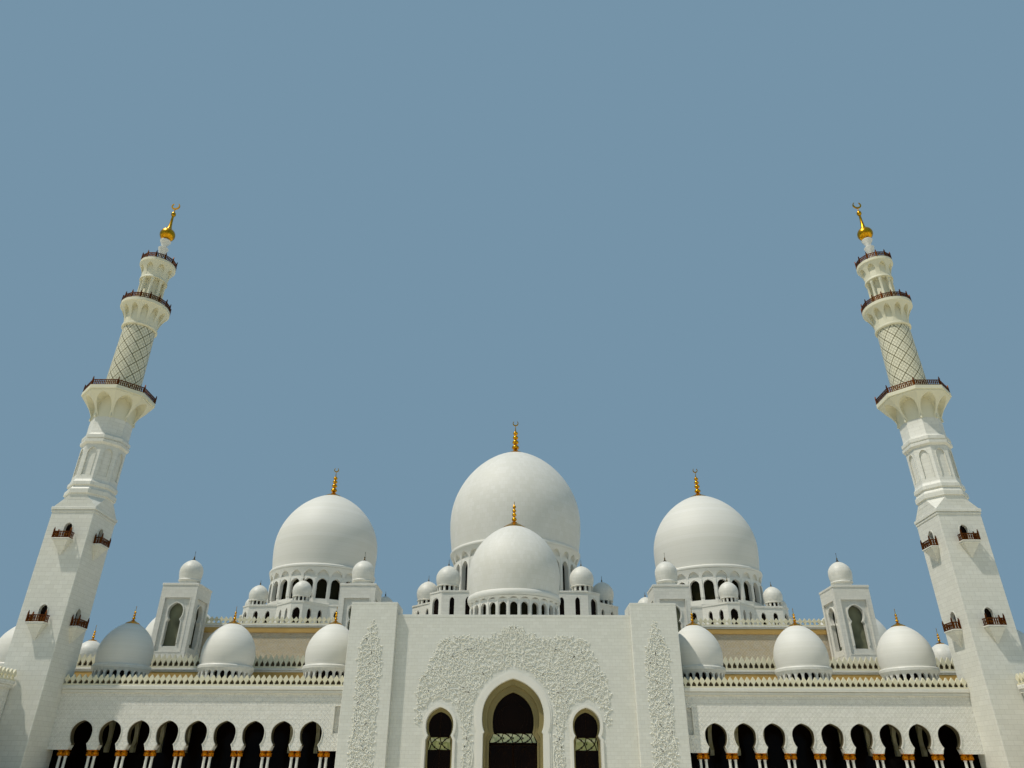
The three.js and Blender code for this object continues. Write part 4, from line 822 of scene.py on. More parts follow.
def flower_pattern():
    """Five-petalled flower on the wall plane, a metre across, its petals cupped round a raised eye."""
    bpy.ops.mesh.primitive_circle_add(vertices=10, radius=0.5, fill_type="TRIFAN",
                                      rotation=(math.pi / 2, 0, 0))
    piece = bpy.context.object
    bpy.ops.object.transform_apply(location=True, rotation=True, scale=True)
    for i, corner in enumerate(piece.data.vertices):
        if corner.co.length > 0.1 and i % 2:
            corner.co *= 0.52
    for corner in piece.data.vertices:
        corner.co.y = -0.1 if corner.co.length > 0.3 else -0.22
        if abs(corner.co.x) < 0.01 and abs(corner.co.z) < 0.01:
            corner.co.y = -0.08
    bpy.ops.object.mode_set(mode="EDIT")
    bpy.ops.mesh.select_all(action="SELECT")
    bpy.ops.mesh.select_mode(type="EDGE")
    bpy.ops.mesh.region_to_loop()
    bpy.ops.mesh.extrude_edges_move()
    bpy.ops.object.mode_set(mode="OBJECT")
    for corner in piece.data.vertices:
        if corner.select:
            corner.co.y = 0.02
    bpy.ops.object.mode_set(mode="EDIT")
    bpy.ops.mesh.select_mode(type="VERT")
    bpy.ops.mesh.select_all(action="SELECT")
    bpy.ops.mesh.normals_make_consistent(inside=False)
    bpy.ops.object.mode_set(mode="OBJECT")
    return piece


def leaf_pattern():
    """Pointed leaf a metre long, with a raised rib along it."""
    leaf = slab([(0, 0), (0.26, 0.3), (0.22, 0.65), (0, 1.0), (-0.22, 0.65), (-0.26, 0.3)], -0.06, 0.02)
    alone(leaf)
    bpy.ops.object.mode_set(mode="EDIT")
    bpy.ops.mesh.select_all(action="DESELECT")
    bpy.ops.mesh.select_mode(type="FACE")
    bpy.ops.object.mode_set(mode="OBJECT")
    for face in leaf.data.polygons:
        face.select = face.normal.y < -0.9
    bpy.ops.object.mode_set(mode="EDIT")
    bpy.ops.mesh.poke(offset=0.1)
    bpy.ops.mesh.select_mode(type="VERT")
    bpy.ops.object.mode_set(mode="OBJECT")
    return leaf


def inside(x, z, outline):
    """Whether a point lies within an outline."""
    odd = False
    for (x0, z0), (x1, z1) in zip(outline, outline[1:] + outline[:1]):
        if (z0 > z) != (z1 > z) and x < x0 + (z - z0) * (x1 - x0) / (z1 - z0):
            odd = not odd
    return odd


def laid(pattern, x, z, size, angle, flat):
    """Copy of a carved pattern, scaled, turned on the wall and set at its place."""
    copy = twin(pattern)
    turn = Matrix.Rotation(angle, 4, "Y")
    sized = Matrix.Diagonal((size, size * flat, size, 1))
    copy.data.transform(Matrix.Translation((x, 0, z)) @ turn @ sized)
    return copy


def strewn(outline, spacing, tries):
    """Flowers scattered inside an outline, each with leaves and a stem toward its nearest neighbour."""
    low_x, high_x = min(x for x, _ in outline), max(x for x, _ in outline)
    low_z, high_z = min(z for _, z in outline), max(z for _, z in outline)
    places, pieces = [], []
    for _ in range(tries):
        x, z = flower_draw.uniform(low_x, high_x), flower_draw.uniform(low_z, high_z)
        if inside(x, z, outline) and all((x - a) ** 2 + (z - b) ** 2 > spacing ** 2 for a, b in places):
            places.append((x, z))
    for i, (x, z) in enumerate(places):
        size = flower_draw.uniform(0.62, 1.05) * spacing / 0.8
        pieces.append(laid(flower, x, z, size, flower_draw.uniform(0, 6.28), 0.8 / size * FLOWER_REACH * 2))
        first = flower_draw.uniform(0, 6.28)
        for k in range(3):
            angle = first + k * 2.09 + flower_draw.uniform(-0.4, 0.4)
            reach = 0.4 * size
            pieces.append(laid(leaf, x + reach * math.sin(angle), z + reach * math.cos(angle),
                               flower_draw.uniform(0.34, 0.52) * spacing / 0.8, angle, 3.2))
        if i:
            a, b = min(places[:i], key=lambda p: (p[0] - x) ** 2 + (p[1] - z) ** 2)
            pieces.append(strip(bowed((x, z), (a, b), flower_draw.uniform(-0.3, 0.3)), 0.09, -0.12, 0.02))
    return joined(pieces)


def bowed(start, end, bow, steps=4):
    """Points of a bowed line between two points."""
    (x0, z0), (x1, z1) = start, end
    points = []
    for i in range(steps + 1):
        t = i / steps
        swell = 4 * t * (1 - t) * bow
        points.append((x0 + (x1 - x0) * t + swell * (z1 - z0), z0 + (z1 - z0) * t - swell * (x1 - x0)))
    return points


def strip(points, width, front, back):
    """Flat bar that follows a line of points on a wall."""
    left, right = [], []
    for i, (x, z) in enumerate(points):
        (xa, za), (xb, zb) = points[max(i - 1, 0)], points[min(i + 1, len(points) - 1)]
        run = math.hypot(xb - xa, zb - za)
        across = ((zb - za) / run * width / 2, -(xb - xa) / run * width / 2)
        left.append((x - across[0], z - across[1]))
        right.append((x + across[0], z + across[1]))
    return slab(left + list(reversed(right)), front, back)


relief_marble = stone_finish("carved relief marble", "#ECEBE2", "#DDDCD0")
flower, leaf = flower_pattern(), leaf_pattern()
GATE_SPACING = 0.46
PYLON_SPACING = 0.5
GATE_CARVING = [(0.15, 22.3), (2.2, 21.4), (5.0, 20.4), (7.6, 20.9), (11.4, 20.2), (11.6, 18.6),
                (12.35, 17.8), (12.6, 16.2), (13.5, 15.7), (14.5, 12.9), (14.1, 8.6), (13.6, 8.6),
                (13.4, 10.4), (12.6, 11.5), (10.7, 12.1), (8.7, 11.3), (7.9, 9.8), (7.4, 8.6), (7.3, 0.7),
                (6.25, 0.7), (6.2, 9.4), (5.95, 11.6), (5.0, 13.6), (2.6, 15.9), (0.15, 16.8)]
PYLON_CARVING = [(20.01, 0.7), (23.23, 0.7), (23.33, 17.57), (22.92, 20.06), (22.3, 21.51),
                 (21.67, 22.75), (21.05, 21.51), (20.43, 20.06), (19.91, 17.57)]
gate_carving = strewn(GATE_CARVING, GATE_SPACING, 9000)
settle_pair(gate_carving, "gate_carving", relief_marble, "white_marble", smooth=0)
pylon_carving = strewn(PYLON_CARVING, PYLON_SPACING, 4000)
pylon_carving.data.transform(Matrix.Translation((0, PYLON_FRONT, 0)))
settle_pair(pylon_carving, "pylon_carving", relief_marble, "white_marble", smooth=0)
for pattern in (flower, leaf):
    bpy.data.objects.remove(pattern)

# Doors of the portal
# The gate has two glazed leaves under a transom, and the side doorways have fixed glazing.
# All are glass in bronze bars, dark with painted shade, with a band of green and cream glass in crossing
# diagonals.
bronze = gold_finish("dark bronze glazing bar", "#2A1C12", "#140E0A", 0.45)
LEAF_X = (0.03, 3.44)
LEAF_Z = (0.36, 5.93)
LEAF_FACE = 2.35
GATE_BAND = (6.1, 7.42)
SIDE_BAND = (5.1, 6.85)


def band_glass_finish(name, light, dark):
    """Fused glass in two tints, a little different from pane to pane, with fine etched petals."""
    finish, tree = new_finish(name)
    place = add_node(tree, "TexCoord").outputs["Object"]
    panes = add_node(tree, "TexVoronoi", {"Vector": place, "Scale": 16.0})
    patch = add_node(tree, "SeparateColor", {0: panes.outputs["Color"]})
    tint = add_node(tree, "Mix", {
        0: patch, 6: linear(light), 7: linear(dark)}, data_type="RGBA")
    petals = add_node(tree, "TexWave", {
        "Vector": place, "Scale": 14.0, "Distortion": 3.0, "Detail": 2.0}, wave_type="RINGS")
    etched = add_node(tree, "MapRange", {0: petals.outputs["Fac"], 1: 0.75, 2: 0.9, 3: 0.0, 4: 0.5})
    lined = add_node(tree, "Mix", {
        0: etched, 6: tint.outputs[2], 7: linear("#E2DFB8")}, data_type="RGBA")
    normal = add_node(tree, "Bump", {"Strength": 0.2, "Distance": 0.001, "Height": petals.outputs["Fac"]})
    shader = add_node(tree, "BsdfPrincipled", {
        "Base Color": lined.outputs[2], "Roughness": 0.22, "IOR": 1.5, "Normal": normal})
    add_node(tree, "OutputMaterial", {0: shader})
    return finish


def star(x, z, radius, front, back):
    """Small six-pointed star of bronze on the glass."""
    outline = []
    for i in range(12):
        reach = radius if i % 2 == 0 else 0.45 * radius
        outline.append((x + reach * math.sin(i * math.pi / 6), z + reach * math.cos(i * math.pi / 6)))
    return slab(outline, front, back)


def glass_band(centre, foot, top, foot_half, top_half, panes, y):
    """Band of coloured glass, with its crossing bars, its rim and a star in each pane."""
    glass = slab([(centre - foot_half, foot), (centre + foot_half, foot), (centre + top_half, top),
                  (centre - top_half, top)], y, y + 0.03)
    bars = []
    step = 2 * top_half / panes
    for i in range(panes):
        x0 = centre - top_half + i * step
        for a, b in (((x0, foot + 0.02), (x0 + step, top - 0.02)),
                     ((x0 + step, foot + 0.02), (x0, top - 0.02))):
            bars.append(strip(bowed(a, b, 0.16), 0.13, y - 0.05, y + 0.01))
        for dx, dz in ((0.5, 0.22), (0.5, 0.78), (0.0, 0.5)):
            if i or dx:
                bars.append(star(x0 + dx * step, foot + dz * (top - foot), 0.2, y - 0.04, y + 0.01))
    for z, half in ((foot, foot_half), (top, top_half)):
        bars.append(block(centre - half, centre + half, y - 0.06, y + 0.03, z - 0.06, z + 0.06))
    return glass, bars


gate_band_glass = band_glass_finish("cream and green fused glass", "#C3C69C", "#9CA87E")
side_band_glass = band_glass_finish("olive fused glass", "#B9B878", "#8E9458")
gate_glass, gate_bars = glass_band(0, *GATE_BAND, 3.45, 2.87, 4, 2.24)
side_glass, side_bars = glass_band(SIDE_DOOR_X, *SIDE_BAND, 1.66, 1.46, 2, 1.44)
settle(gate_glass, "gate_glass_band", gate_band_glass, "floral_glass", smooth=0)
settle_pair(side_glass, "side_glass_band", side_band_glass, "floral_glass", smooth=0)
gate_bars += [block(-3.5, 3.5, 2.3, 2.5, 6.0, 6.2, bevel=0.02),
              strip(bowed((-1.9, 7.6), (1.9, 7.6), 0.0), 0.06, 2.46, 2.5)]
for reach in (0.75, 1.5, 2.25):
    for side in (-1, 1):
        tracery = bowed((side * reach, 7.5), (side * 0.25 * reach, 12.4 - 0.5 * reach), side * 0.28, 8)
        gate_bars.append(strip(tracery, 0.05, 2.47, 2.5))
settle(joined(gate_bars), "gate_glazing_bars", bronze, "bronze_railing", smooth=0)
side_bars += [block(SIDE_DOOR_X - 1.9, SIDE_DOOR_X + 1.9, 1.42, 1.5, FLOOR_TOP, 0.6, bevel=0.02),
              block(SIDE_DOOR_X - 0.05, SIDE_DOOR_X + 0.05, 1.44, 1.5, 0.6, 5.05),
              block(SIDE_DOOR_X - 0.04, SIDE_DOOR_X + 0.04, 1.46, 1.5, 6.95, 10.6)]
for side in (-1, 1):
    x = SIDE_DOOR_X + side * 0.1
    side_bars.append(strip(bowed((x, 0.9), (x, 4.9), side * 0.2, 10), 0.05, 1.45, 1.5))
settle_pair(joined(side_bars), "side_door_bars", bronze, "bronze_railing", smooth=0)
for name in ("gate_screen", "gate_leaf_left", "gate_leaf_right", "side_door_screen_left",
             "side_door_screen_right"):
    finish_node(name, dark_glass)

leaf_bars = [block(x0, x1, LEAF_FACE - 0.05, LEAF_FACE + 0.01, z0, z1, bevel=0.01) for x0, x1, z0, z1 in (
    (LEAF_X[0], LEAF_X[0] + 0.14, *LEAF_Z), (LEAF_X[1] - 0.16, LEAF_X[1] - 0.02, *LEAF_Z),
    (LEAF_X[0], LEAF_X[1] - 0.02, LEAF_Z[0], LEAF_Z[0] + 0.3),
    (LEAF_X[0], LEAF_X[1] - 0.02, LEAF_Z[1] - 0.14, LEAF_Z[1]))]
for reach in (0.5, 0.95, 1.4):
    for side in (-1, 1):
        leaf_bars.append(strip(bowed((1.7, 0.8), (1.7, 5.6), side * reach / 4.8, 10), 0.05, LEAF_FACE - 0.03,
                               LEAF_FACE + 0.01))
leaf_bars.append(block(0.28, 0.34, LEAF_FACE - 0.14, LEAF_FACE - 0.1, 2.2, 3.6, bevel=0.01))
for z in (2.3, 3.5):
    leaf_bars.append(block(0.29, 0.33, LEAF_FACE - 0.12, LEAF_FACE + 0.01, z - 0.03, z + 0.03))
right_bars = joined(leaf_bars)
left_bars = mirrored(right_bars)
settle(right_bars, "gate_leaf_bars_right", bronze, "bronze_railing", body="gate_leaf_right", smooth=0)
settle(left_bars, "gate_leaf_bars_left", bronze, "bronze_railing", body="gate_leaf_left", smooth=0)

# Hall, lower storey
# Marble-faced concrete walls, the fronts carved with a fine diamond lattice below the cornice, tinted as
# painted shade.
# A soffit in painted warm shade runs under two fascias with tall cream merlons, and the other walls have
# blind arches.
LOWER_BACK = 102.0
LOWER_CORNICE_Z = 17.1
LOWER_TOP = 17.7
LOWER_PARAPET_TOP = 19.9
HALL_GUTTER_TOP = 19.2
HALL_MERLON_PITCH = 0.91
HALL_NICHE = {"foot": 1.6, "sill": 2.5, "wide": 1.6, "wide_z": 8.4, "apex": 10.6}
HALL_NICHE_PITCH = 5 * BAY
CORNICE_REACH = 0.45
MERLON_Y = -CORNICE_REACH + 0.1
# The soffit's golden brown is painted shade and warm light reflected up onto it.
shade_and_bounce_soffit_stone = stone_finish("soffit stone in painted shade and reflected light", "#C8A560", "#A6823F")
# The front walls are tinted darker and warmer than the other marble as painted shade.
painted_shade_lattice = marble_finish("carved lattice marble in painted warm shade", "#CDBB9C", "#C3B08F", 120, 60, relief_mm=22)


def storey_front(low, high, y, foot, top, cornice_foot):
    """Carved front wall of a storey with its cornice, and the soffit under it."""
    wall = block(low, high, y, y + WALL, foot, top)
    fascias = all_placed(cornice(high - low, CORNICE_REACH, cornice_foot, top), low, y)
    soffit = block(low, high, y - 0.3, y + 0.1, cornice_foot - 0.95, cornice_foot - BED, bevel=0.05)
    return wall, joined(fascias), soffit


hall_wall, hall_cornice, hall_soffit = storey_front(
    PORTAL_HALF + BED, OUTER_X, LOWER_FRONT, FLOOR_TOP, LOWER_TOP, LOWER_CORNICE_Z)
settle_pair(hall_wall, "hall_front_wall", painted_shade_lattice, "white_marble", ["hall_front_wall"])
settle_pair(hall_cornice, "hall_cornice", wall_marble, "white_marble")
settle_pair(hall_soffit, "hall_soffit", shade_and_bounce_soffit_stone, "carved_cream_stone")
hall_merlons = merlon_row(OUTER_X - PORTAL_HALF - BED, LOWER_TOP + BED, LOWER_PARAPET_TOP, HALL_MERLON_PITCH)
placed(hall_merlons, PORTAL_HALF + BED, LOWER_FRONT + MERLON_Y)
# The hall's gutter upstand is painted dark brown as the shade behind its merlons.
hall_gutter = block(PORTAL_HALF + BED, OUTER_X - 0.5, LOWER_FRONT + 0.02, LOWER_FRONT + 0.12, LOWER_TOP + BED,
                    HALL_GUTTER_TOP, bevel=0.02)
settle_pair(hall_gutter, "hall_gutter", painted_shade_gutter_stone, "carved_cream_stone")
settle_pair(hall_merlons, "hall_parapet", cream_stone, "carved_cream_stone", ["hall_parapet"], smooth=0)


def storey_wall(length, wall_end, cornice_end, foot, cornice_foot, top, niches):
    """Outer wall of a storey, drawn along x, with its cornice and its blind arches set about the middle."""
    if niches:
        count = int((length / 2 - 6) / HALL_NICHE_PITCH) * 2 + 1
        first = length / 2 - (count - 1) / 2 * HALL_NICHE_PITCH
        pieces = blind_arcade(wall_end, foot, top, first, count, HALL_NICHE_PITCH, HALL_NICHE, depth=0.4)
    else:
        pieces = [block(0, wall_end, 0, WALL, foot, top)]
    return joined(pieces + cornice(cornice_end, CORNICE_REACH, cornice_foot, top))


def storey_rear(half, front, back, foot, cornice_foot, top, niches):
    """Side walls and back wall of a storey."""
    length = back - front
    side = storey_wall(length, length - WALL - BED, length + CORNICE_REACH, foot, cornice_foot, top, niches)
    placed(side, half, front, 1)
    rear = storey_wall(2 * half, 2 * half, 2 * half, foot, cornice_foot, top, niches)
    return joined([side, mirrored(side), placed(rear, half, back, 2)])


def rear_merlons(half, front, back, foot, top):
    """Merlons along the right side of a storey, and along its back."""
    side, rear = [placed(merlon_row(length, foot, top, HALL_MERLON_PITCH), 0, MERLON_Y)
                  for length in (back - front, 2 * half)]
    return placed(side, half, front, 1), placed(rear, half, back, 2)


hall_rear = storey_rear(OUTER_X, LOWER_FRONT + WALL + BED, LOWER_BACK, FLOOR_TOP, LOWER_CORNICE_Z, LOWER_TOP,
                        True)
settle(hall_rear, "hall_rear_walls", wall_marble, "white_marble", ["hall_rear_walls"])
side_merlons, back_merlons = rear_merlons(OUTER_X, LOWER_FRONT + WALL, LOWER_BACK, LOWER_TOP + BED,
                                          LOWER_PARAPET_TOP)
settle(joined([side_merlons, mirrored(side_merlons)]), "hall_side_parapets", cream_stone,
       "carved_cream_stone", smooth=0)
settle(back_merlons, "hall_back_parapet", cream_stone, "carved_cream_stone", smooth=0)

# Hall, upper storey
# The same build is set back over the middle of the hall, with its lattice carved on the front only.
# Lower cream merlons stand on its cornice, and its flat roof is paved with polished marble.
UPPER_HALF = 66.3
UPPER_FRONT = 28.5
UPPER_BACK = 88.0
UPPER_CORNICE_Z = 26.9
UPPER_TOP = 27.5
UPPER_PARAPET_TOP = 28.9

upper_wall, upper_cornice, upper_soffit = storey_front(
    -UPPER_HALF, UPPER_HALF, UPPER_FRONT, LOWER_CORNICE_Z + BED, UPPER_TOP, UPPER_CORNICE_Z)
settle(upper_wall, "upper_front_wall", painted_shade_lattice, "white_marble", ["upper_front_wall"])
settle(upper_cornice, "upper_cornice", wall_marble, "white_marble")
settle(upper_soffit, "upper_soffit", shade_and_bounce_soffit_stone, "carved_cream_stone")
upper_merlons = merlon_row(2 * UPPER_HALF, UPPER_TOP + BED, UPPER_PARAPET_TOP, HALL_MERLON_PITCH)
placed(upper_merlons, -UPPER_HALF, UPPER_FRONT + MERLON_Y)
settle(upper_merlons, "upper_parapet", cream_stone, "carved_cream_stone", ["upper_parapet"], smooth=0)
upper_rear = storey_rear(UPPER_HALF, UPPER_FRONT + WALL + BED, UPPER_BACK, LOWER_CORNICE_Z + BED,
                         UPPER_CORNICE_Z, UPPER_TOP, False)
settle(upper_rear, "upper_rear_walls", wall_marble, "white_marble", ["upper_rear_walls"])
side_merlons, back_merlons = rear_merlons(UPPER_HALF, UPPER_FRONT + WALL, UPPER_BACK, UPPER_TOP + BED,
                                          UPPER_PARAPET_TOP)
settle(joined([side_merlons, mirrored(side_merlons), back_merlons]), "upper_rear_parapets", cream_stone,
       "carved_cream_stone", smooth=0)
finish_node("upper_roof", paving_marble)

# Large domes and their drums
# A ring of arched windows carries a table of pointed niches and a plain white ring under each shell.
# The shells are concrete clad with curved marble slabs, and gilt beads stand on a flared disc at each crown.
MAIN = {"x": 0.0, "y": 58.0, "drum": 14.6, "foot": 37.0, "corbel_z": 45.6, "ring": 15.7, "ring_z": 48.1,
        "spring": 49.0, "base": 15.3, "wide": 16.0, "wide_z": 56.7, "top": 75.6, "tip": 85.1, "shell": 0.8,
        "disc": 2.9, "sides": 112, "windows": 28, "window": {"foot": 1.15, "sill": 38.0, "wide": 1.15,
                                                             "wide_z": 43.6, "apex": 45.3}}
SIDE = {"x": 45.75, "y": 57.0, "drum": 11.6, "foot": 34.7, "corbel_z": 40.7, "ring": 12.3, "ring_z": 42.95,
        "spring": 43.8, "base": 11.7, "wide": 12.15, "wide_z": 49.6, "top": 63.7, "tip": 71.3, "shell": 0.7,
        "disc": 2.4, "sides": 96, "windows": 24, "window": {"foot": 1.1, "sill": 36.6, "wide": 1.1,
                                                            "wide_z": 39.3, "apex": 40.55}}
PORTAL_DOME = {"x": 0.0, "y": 14.0, "drum": 7.6, "foot": 24.0, "corbel_z": 27.6, "ring": 8.2, "ring_z": 28.4,
               "spring": 29.5, "base": 7.8, "wide": 8.15, "wide_z": 33.2, "top": 42.6, "tip": 47.3,
               "shell": 0.5, "disc": 2.2, "sides": 112, "windows": 26,
               "window": {"foot": 0.62, "sill": 24.7, "wide": 0.62, "wide_z": 26.7, "apex": 27.45}}


def drum_ring(spec):
    """Ring of window bays, with the corbel table and the plain ring over them, about the origin."""
    windows = spec["windows"]
    half = spec["drum"] * math.tan(math.pi / windows)
    window = spec["window"]
    face = -spec["drum"]
    bay = slab([(-half, spec["foot"]), (half, spec["foot"]), (half, spec["corbel_z"] + 0.4),
                (-half, spec["corbel_z"] + 0.4)], face, face + 0.07 * spec["drum"])
    cut(bay, slab(arch(window, steps=6), face - 1, face + 3))
    bead = frame_ring(window, 0.12 * window["foot"], face - 0.08, face + 0.05, steps=6)
    pilaster = block(half - 0.16 * half, half + 0.16 * half, face - 0.12, face + 0.1, window["sill"],
                     spec["corbel_z"] - 0.1, bevel=0.04)
    bays = ring_of(joined([bay, bead, pilaster]), windows)
    reach = spec["ring"] - 0.2 - spec["drum"]
    rise = spec["ring_z"] - spec["corbel_z"]
    steps = [(0.0, 0.0), (0.16, 0.25), (0.36, 0.5), (0.64, 0.75), (1.0, 1.0)]
    flare = [(spec["drum"] - 0.6, spec["corbel_z"] - 0.15), (spec["drum"] + 0.05, spec["corbel_z"] - 0.15)]
    flare += [(spec["drum"] + 0.08 + reach * out, spec["corbel_z"] + rise * up) for out, up in steps]
    flare += [(spec["drum"] - 0.6, spec["ring_z"])]
    table = turned(flare, 4 * windows, closed=True)
    niche = arch({"foot": 0.82 * half, "sill": spec["corbel_z"] - 0.3, "wide": 0.82 * half,
                  "wide_z": spec["corbel_z"] + 0.1 * rise, "apex": spec["corbel_z"] + 0.75 * rise}, steps=5)
    cut(table, ring_of(slab(niche, face - 3, face + 0.3), windows))
    middle = (spec["ring_z"] + spec["spring"]) / 2
    bulge = (spec["spring"] - spec["ring_z"]) / 2
    ring = [(spec["ring"] - 1.4, spec["ring_z"])]
    ring += [(spec["ring"] - 0.35 + 0.35 * math.cos(a), middle + bulge * math.sin(a)) for a in
             [math.radians(angle) for angle in (-90, -55, -20, 20, 55, 90)]]
    ring += [(spec["ring"] - 1.4, spec["spring"])]
    return joined([bays, table, turned(ring, 4 * windows, closed=True)])


def dome_shell(spec):
    """Hollow shell of a dome about the origin, from its foot to its crown."""
    inner = dict(spec, base=spec["base"] - spec["shell"], wide=spec["wide"] - spec["shell"],
                 top=spec["top"] - spec["shell"])
    hollow = list(reversed(dome_line(inner, 12)))
    return turned(hollow + dome_line(spec, 26), spec["sides"])


def drum_glass(spec):
    """Glazing behind the windows of a drum, dark olive with painted shade, with its thin upper edge out of
    sight.
    """
    radius = spec["drum"] - 0.085 * spec["drum"]
    line = [(radius - 0.1, spec["foot"] + 0.05), (radius, spec["foot"] + 0.05),
            (radius, spec["corbel_z"] + 0.2), (radius - 0.1, spec["corbel_z"] + 0.2)]
    return turned(line, spec["windows"], closed=True)


def raised_dome(spec, name, finish, nodes=True, beads=4, moon=True):
    """Drum, shell, glazing and finial of a dome on the axis, or of a pair of domes that stand off it."""
    setter = settle_pair if spec["x"] else settle
    for shape, word, stone, slot in ((drum_ring, "drum", frame_marble, "white_marble"),
                                     (dome_shell, "dome", finish, "white_marble"),
                                     (drum_glass, "drum_glass", painted_shade_drum_glass, "dark_glass")):
        replaced = [name + "_" + word] if nodes and stone is not painted_shade_drum_glass else []
        setter(placed(shape(spec), spec["x"], spec["y"]), name + "_" + word, stone, slot, replaced)
    setter(finial(spec, spec["x"], spec["y"], beads, moon), name + "_finial", gilt_brass, "gilt_brass",
           smooth=40)


# The drum glass is painted dark olive as the shade inside the drum.
painted_shade_drum_glass = dark_glass_finish("olive drum glass with painted shade", "#2C2A14", 0.25)
for spec, name, courses in ((MAIN, "main", 110), (PORTAL_DOME, "portal", 80)):
    shell_marble = dome_finish(name + " dome marble", courses, (spec["x"], spec["y"]), spec["windows"] * 3)
    raised_dome(spec, name, shell_marble, moon=spec is MAIN)
side_marble = dome_finish("side dome marble", 100)
raised_dome(SIDE, "side", side_marble)

# Podiums and their turrets
# Each large drum stands on an eight-sided block of marble-faced walls, with a splayed bay on every side.
# The bays have arched windows in front and on their splays, and a small dome on a ring of square openings.
PODIUM_FOOT = UPPER_CORNICE_Z + BED
PODIUM_SILL = 29.4
PODIUM_GLASS_SILL = 29.9
MAIN_PODIUM = {"top": 37.0, "apothem": 18.2, "ring": 20.6, "half": 3.2, "dome": 2.65, "dome_z": 39.9,
               "eye": 13.4, "window": 1.05}
SIDE_PODIUM = {"top": 34.7, "apothem": 13.4, "ring": 15.3, "half": 2.4, "dome": 2.05, "dome_z": 36.85,
               "eye": 10.6, "window": 0.8}


def little_dome(x, y, foot, wide, dome_z):
    """Small dome on a ring of square openings, and its glass, dark with painted shade; returns stone, glass
    and spike.
    """
    spring = dome_z - 0.62 * wide
    line = dome_line({"base": 0.88 * wide, "wide": wide, "spring": spring, "wide_z": dome_z,
                      "top": dome_z + 1.06 * wide}, 10)
    shell = turned([(0, spring - 0.05), (0.88 * wide, spring - 0.05)] + line, 32, x, y)
    post = block(-0.085 * wide, 0.085 * wide, -0.86 * wide, -0.7 * wide, foot, spring - 0.15)
    post.data.transform(Matrix.Translation((x, y, 0)))
    posts = ring_of(post, 12, x, y)
    base = turned([(0.5 * wide, foot - 0.05), (0.95 * wide, foot - 0.05), (0.95 * wide, foot + 0.12),
                   (0.5 * wide, foot + 0.12)], 32, x, y, closed=True)
    rim = turned([(0.5 * wide, spring - 0.22), (0.9 * wide, spring - 0.22), (0.94 * wide, spring - 0.15),
                  (0.94 * wide, spring - 0.05), (0.9 * wide, spring), (0.5 * wide, spring)], 32, x, y,
                 closed=True)
    glass = turned([(0, foot), (0.7 * wide, foot), (0.7 * wide, spring - 0.1), (0, spring - 0.1)], 16, x, y)
    top = dome_z + 1.06 * wide
    tip = turned([(0, top - 0.12), (0.24, top - 0.1), (0.1, top + 0.12), (0.16, top + 0.3), (0.1, top + 0.45),
                  (0.06, top + 0.5), (0.03, dome_z + 1.6 * wide), (0, dome_z + 1.6 * wide)], 8, x, y)
    return joined([shell, posts, base, rim]), glass, tip


def podium(spec):
    """Podium about the origin, a splayed bay on each face: its stone, its glass dark with painted shade, and
    spikes.
    """
    corner = math.pi / 8
    radius = spec["apothem"] / math.cos(corner)
    core = turned([(spec["eye"] + 0.4, PODIUM_FOOT), (radius, PODIUM_FOOT), (radius, spec["top"] - 0.35),
                   (radius + 0.12, spec["top"] - 0.35), (radius + 0.12, spec["top"] - BED),
                   (spec["eye"] + 0.4, spec["top"] - BED)], 8, phase=corner, closed=True)
    top = spec["top"] - 0.4
    front = -spec["ring"] - spec["half"]
    face = -spec["apothem"]
    side = spec["apothem"] * math.tan(corner)
    nose = side + face - front - 2 * (face - front)
    window = {"foot": spec["window"], "sill": PODIUM_SILL, "wide": spec["window"], "wide_z": top - 2.4,
              "apex": top - 1.3}
    narrow = dict(window, foot=0.5, wide=0.5, wide_z=top - 2.2)
    length = (face - front) * math.sqrt(2)
    bays = []
    for foot, height, out in ((PODIUM_FOOT, top, 0.0), (top - 0.3, top + 0.02, 0.12)):
        bay = block(-1, 1, front - out, face + 1.0, foot, height)
        for end in bay.data.vertices:
            end.co.x *= nose + out if end.co.y < face - 1 else side + 1.0 + out
        bays.append(bay)
    tools = [slab(arch(window, steps=5), front - 1, front + 0.5)]
    glass = [slab(arch(dict(window, sill=PODIUM_GLASS_SILL), grow=0.05, steps=5), front + 0.46, front + 0.52)]
    for part in (0.3, 0.72):
        for hand in (-1, 1):
            turn = Matrix.Rotation(-hand * math.pi / 4, 4, "Z")
            place = hand * (side + length * part)
            tools.append(slab(arch(narrow, place, steps=4), face - 1, face + 0.5))
            tools[-1].data.transform(turn)
            glass.append(slab(arch(dict(narrow, sill=PODIUM_GLASS_SILL), place, grow=0.05, steps=4),
                              face + 0.46, face + 0.52))
            glass[-1].data.transform(turn)
    for tool in tools:
        cut(bays[0], tool)
    dome, dome_glass, spike = little_dome(0, -spec["ring"], top, spec["dome"], spec["dome_z"])
    return (joined([core, ring_of(joined(bays + [dome]), 8)]), ring_of(joined(glass + [dome_glass]), 8),
            ring_of(spike, 8))


turret_spike = gold_finish("dark bronze spike", "#6A5A30", "#2A2014", 0.35)
for spec, dome, name in ((MAIN_PODIUM, MAIN, "main"), (SIDE_PODIUM, SIDE, "side")):
    stone, glasses, spikes = podium(spec)
    for piece in (stone, glasses, spikes):
        placed(piece, dome["x"], dome["y"])
    setter = settle_pair if dome["x"] else settle
    setter(stone, name + "_podium", wall_marble, "white_marble", [name + "_podium"])
    setter(glasses, name + "_podium_glass", dark_glass, "dark_glass")
    setter(spikes, name + "_podium_spikes", turret_spike, "gilt_brass", smooth=40)

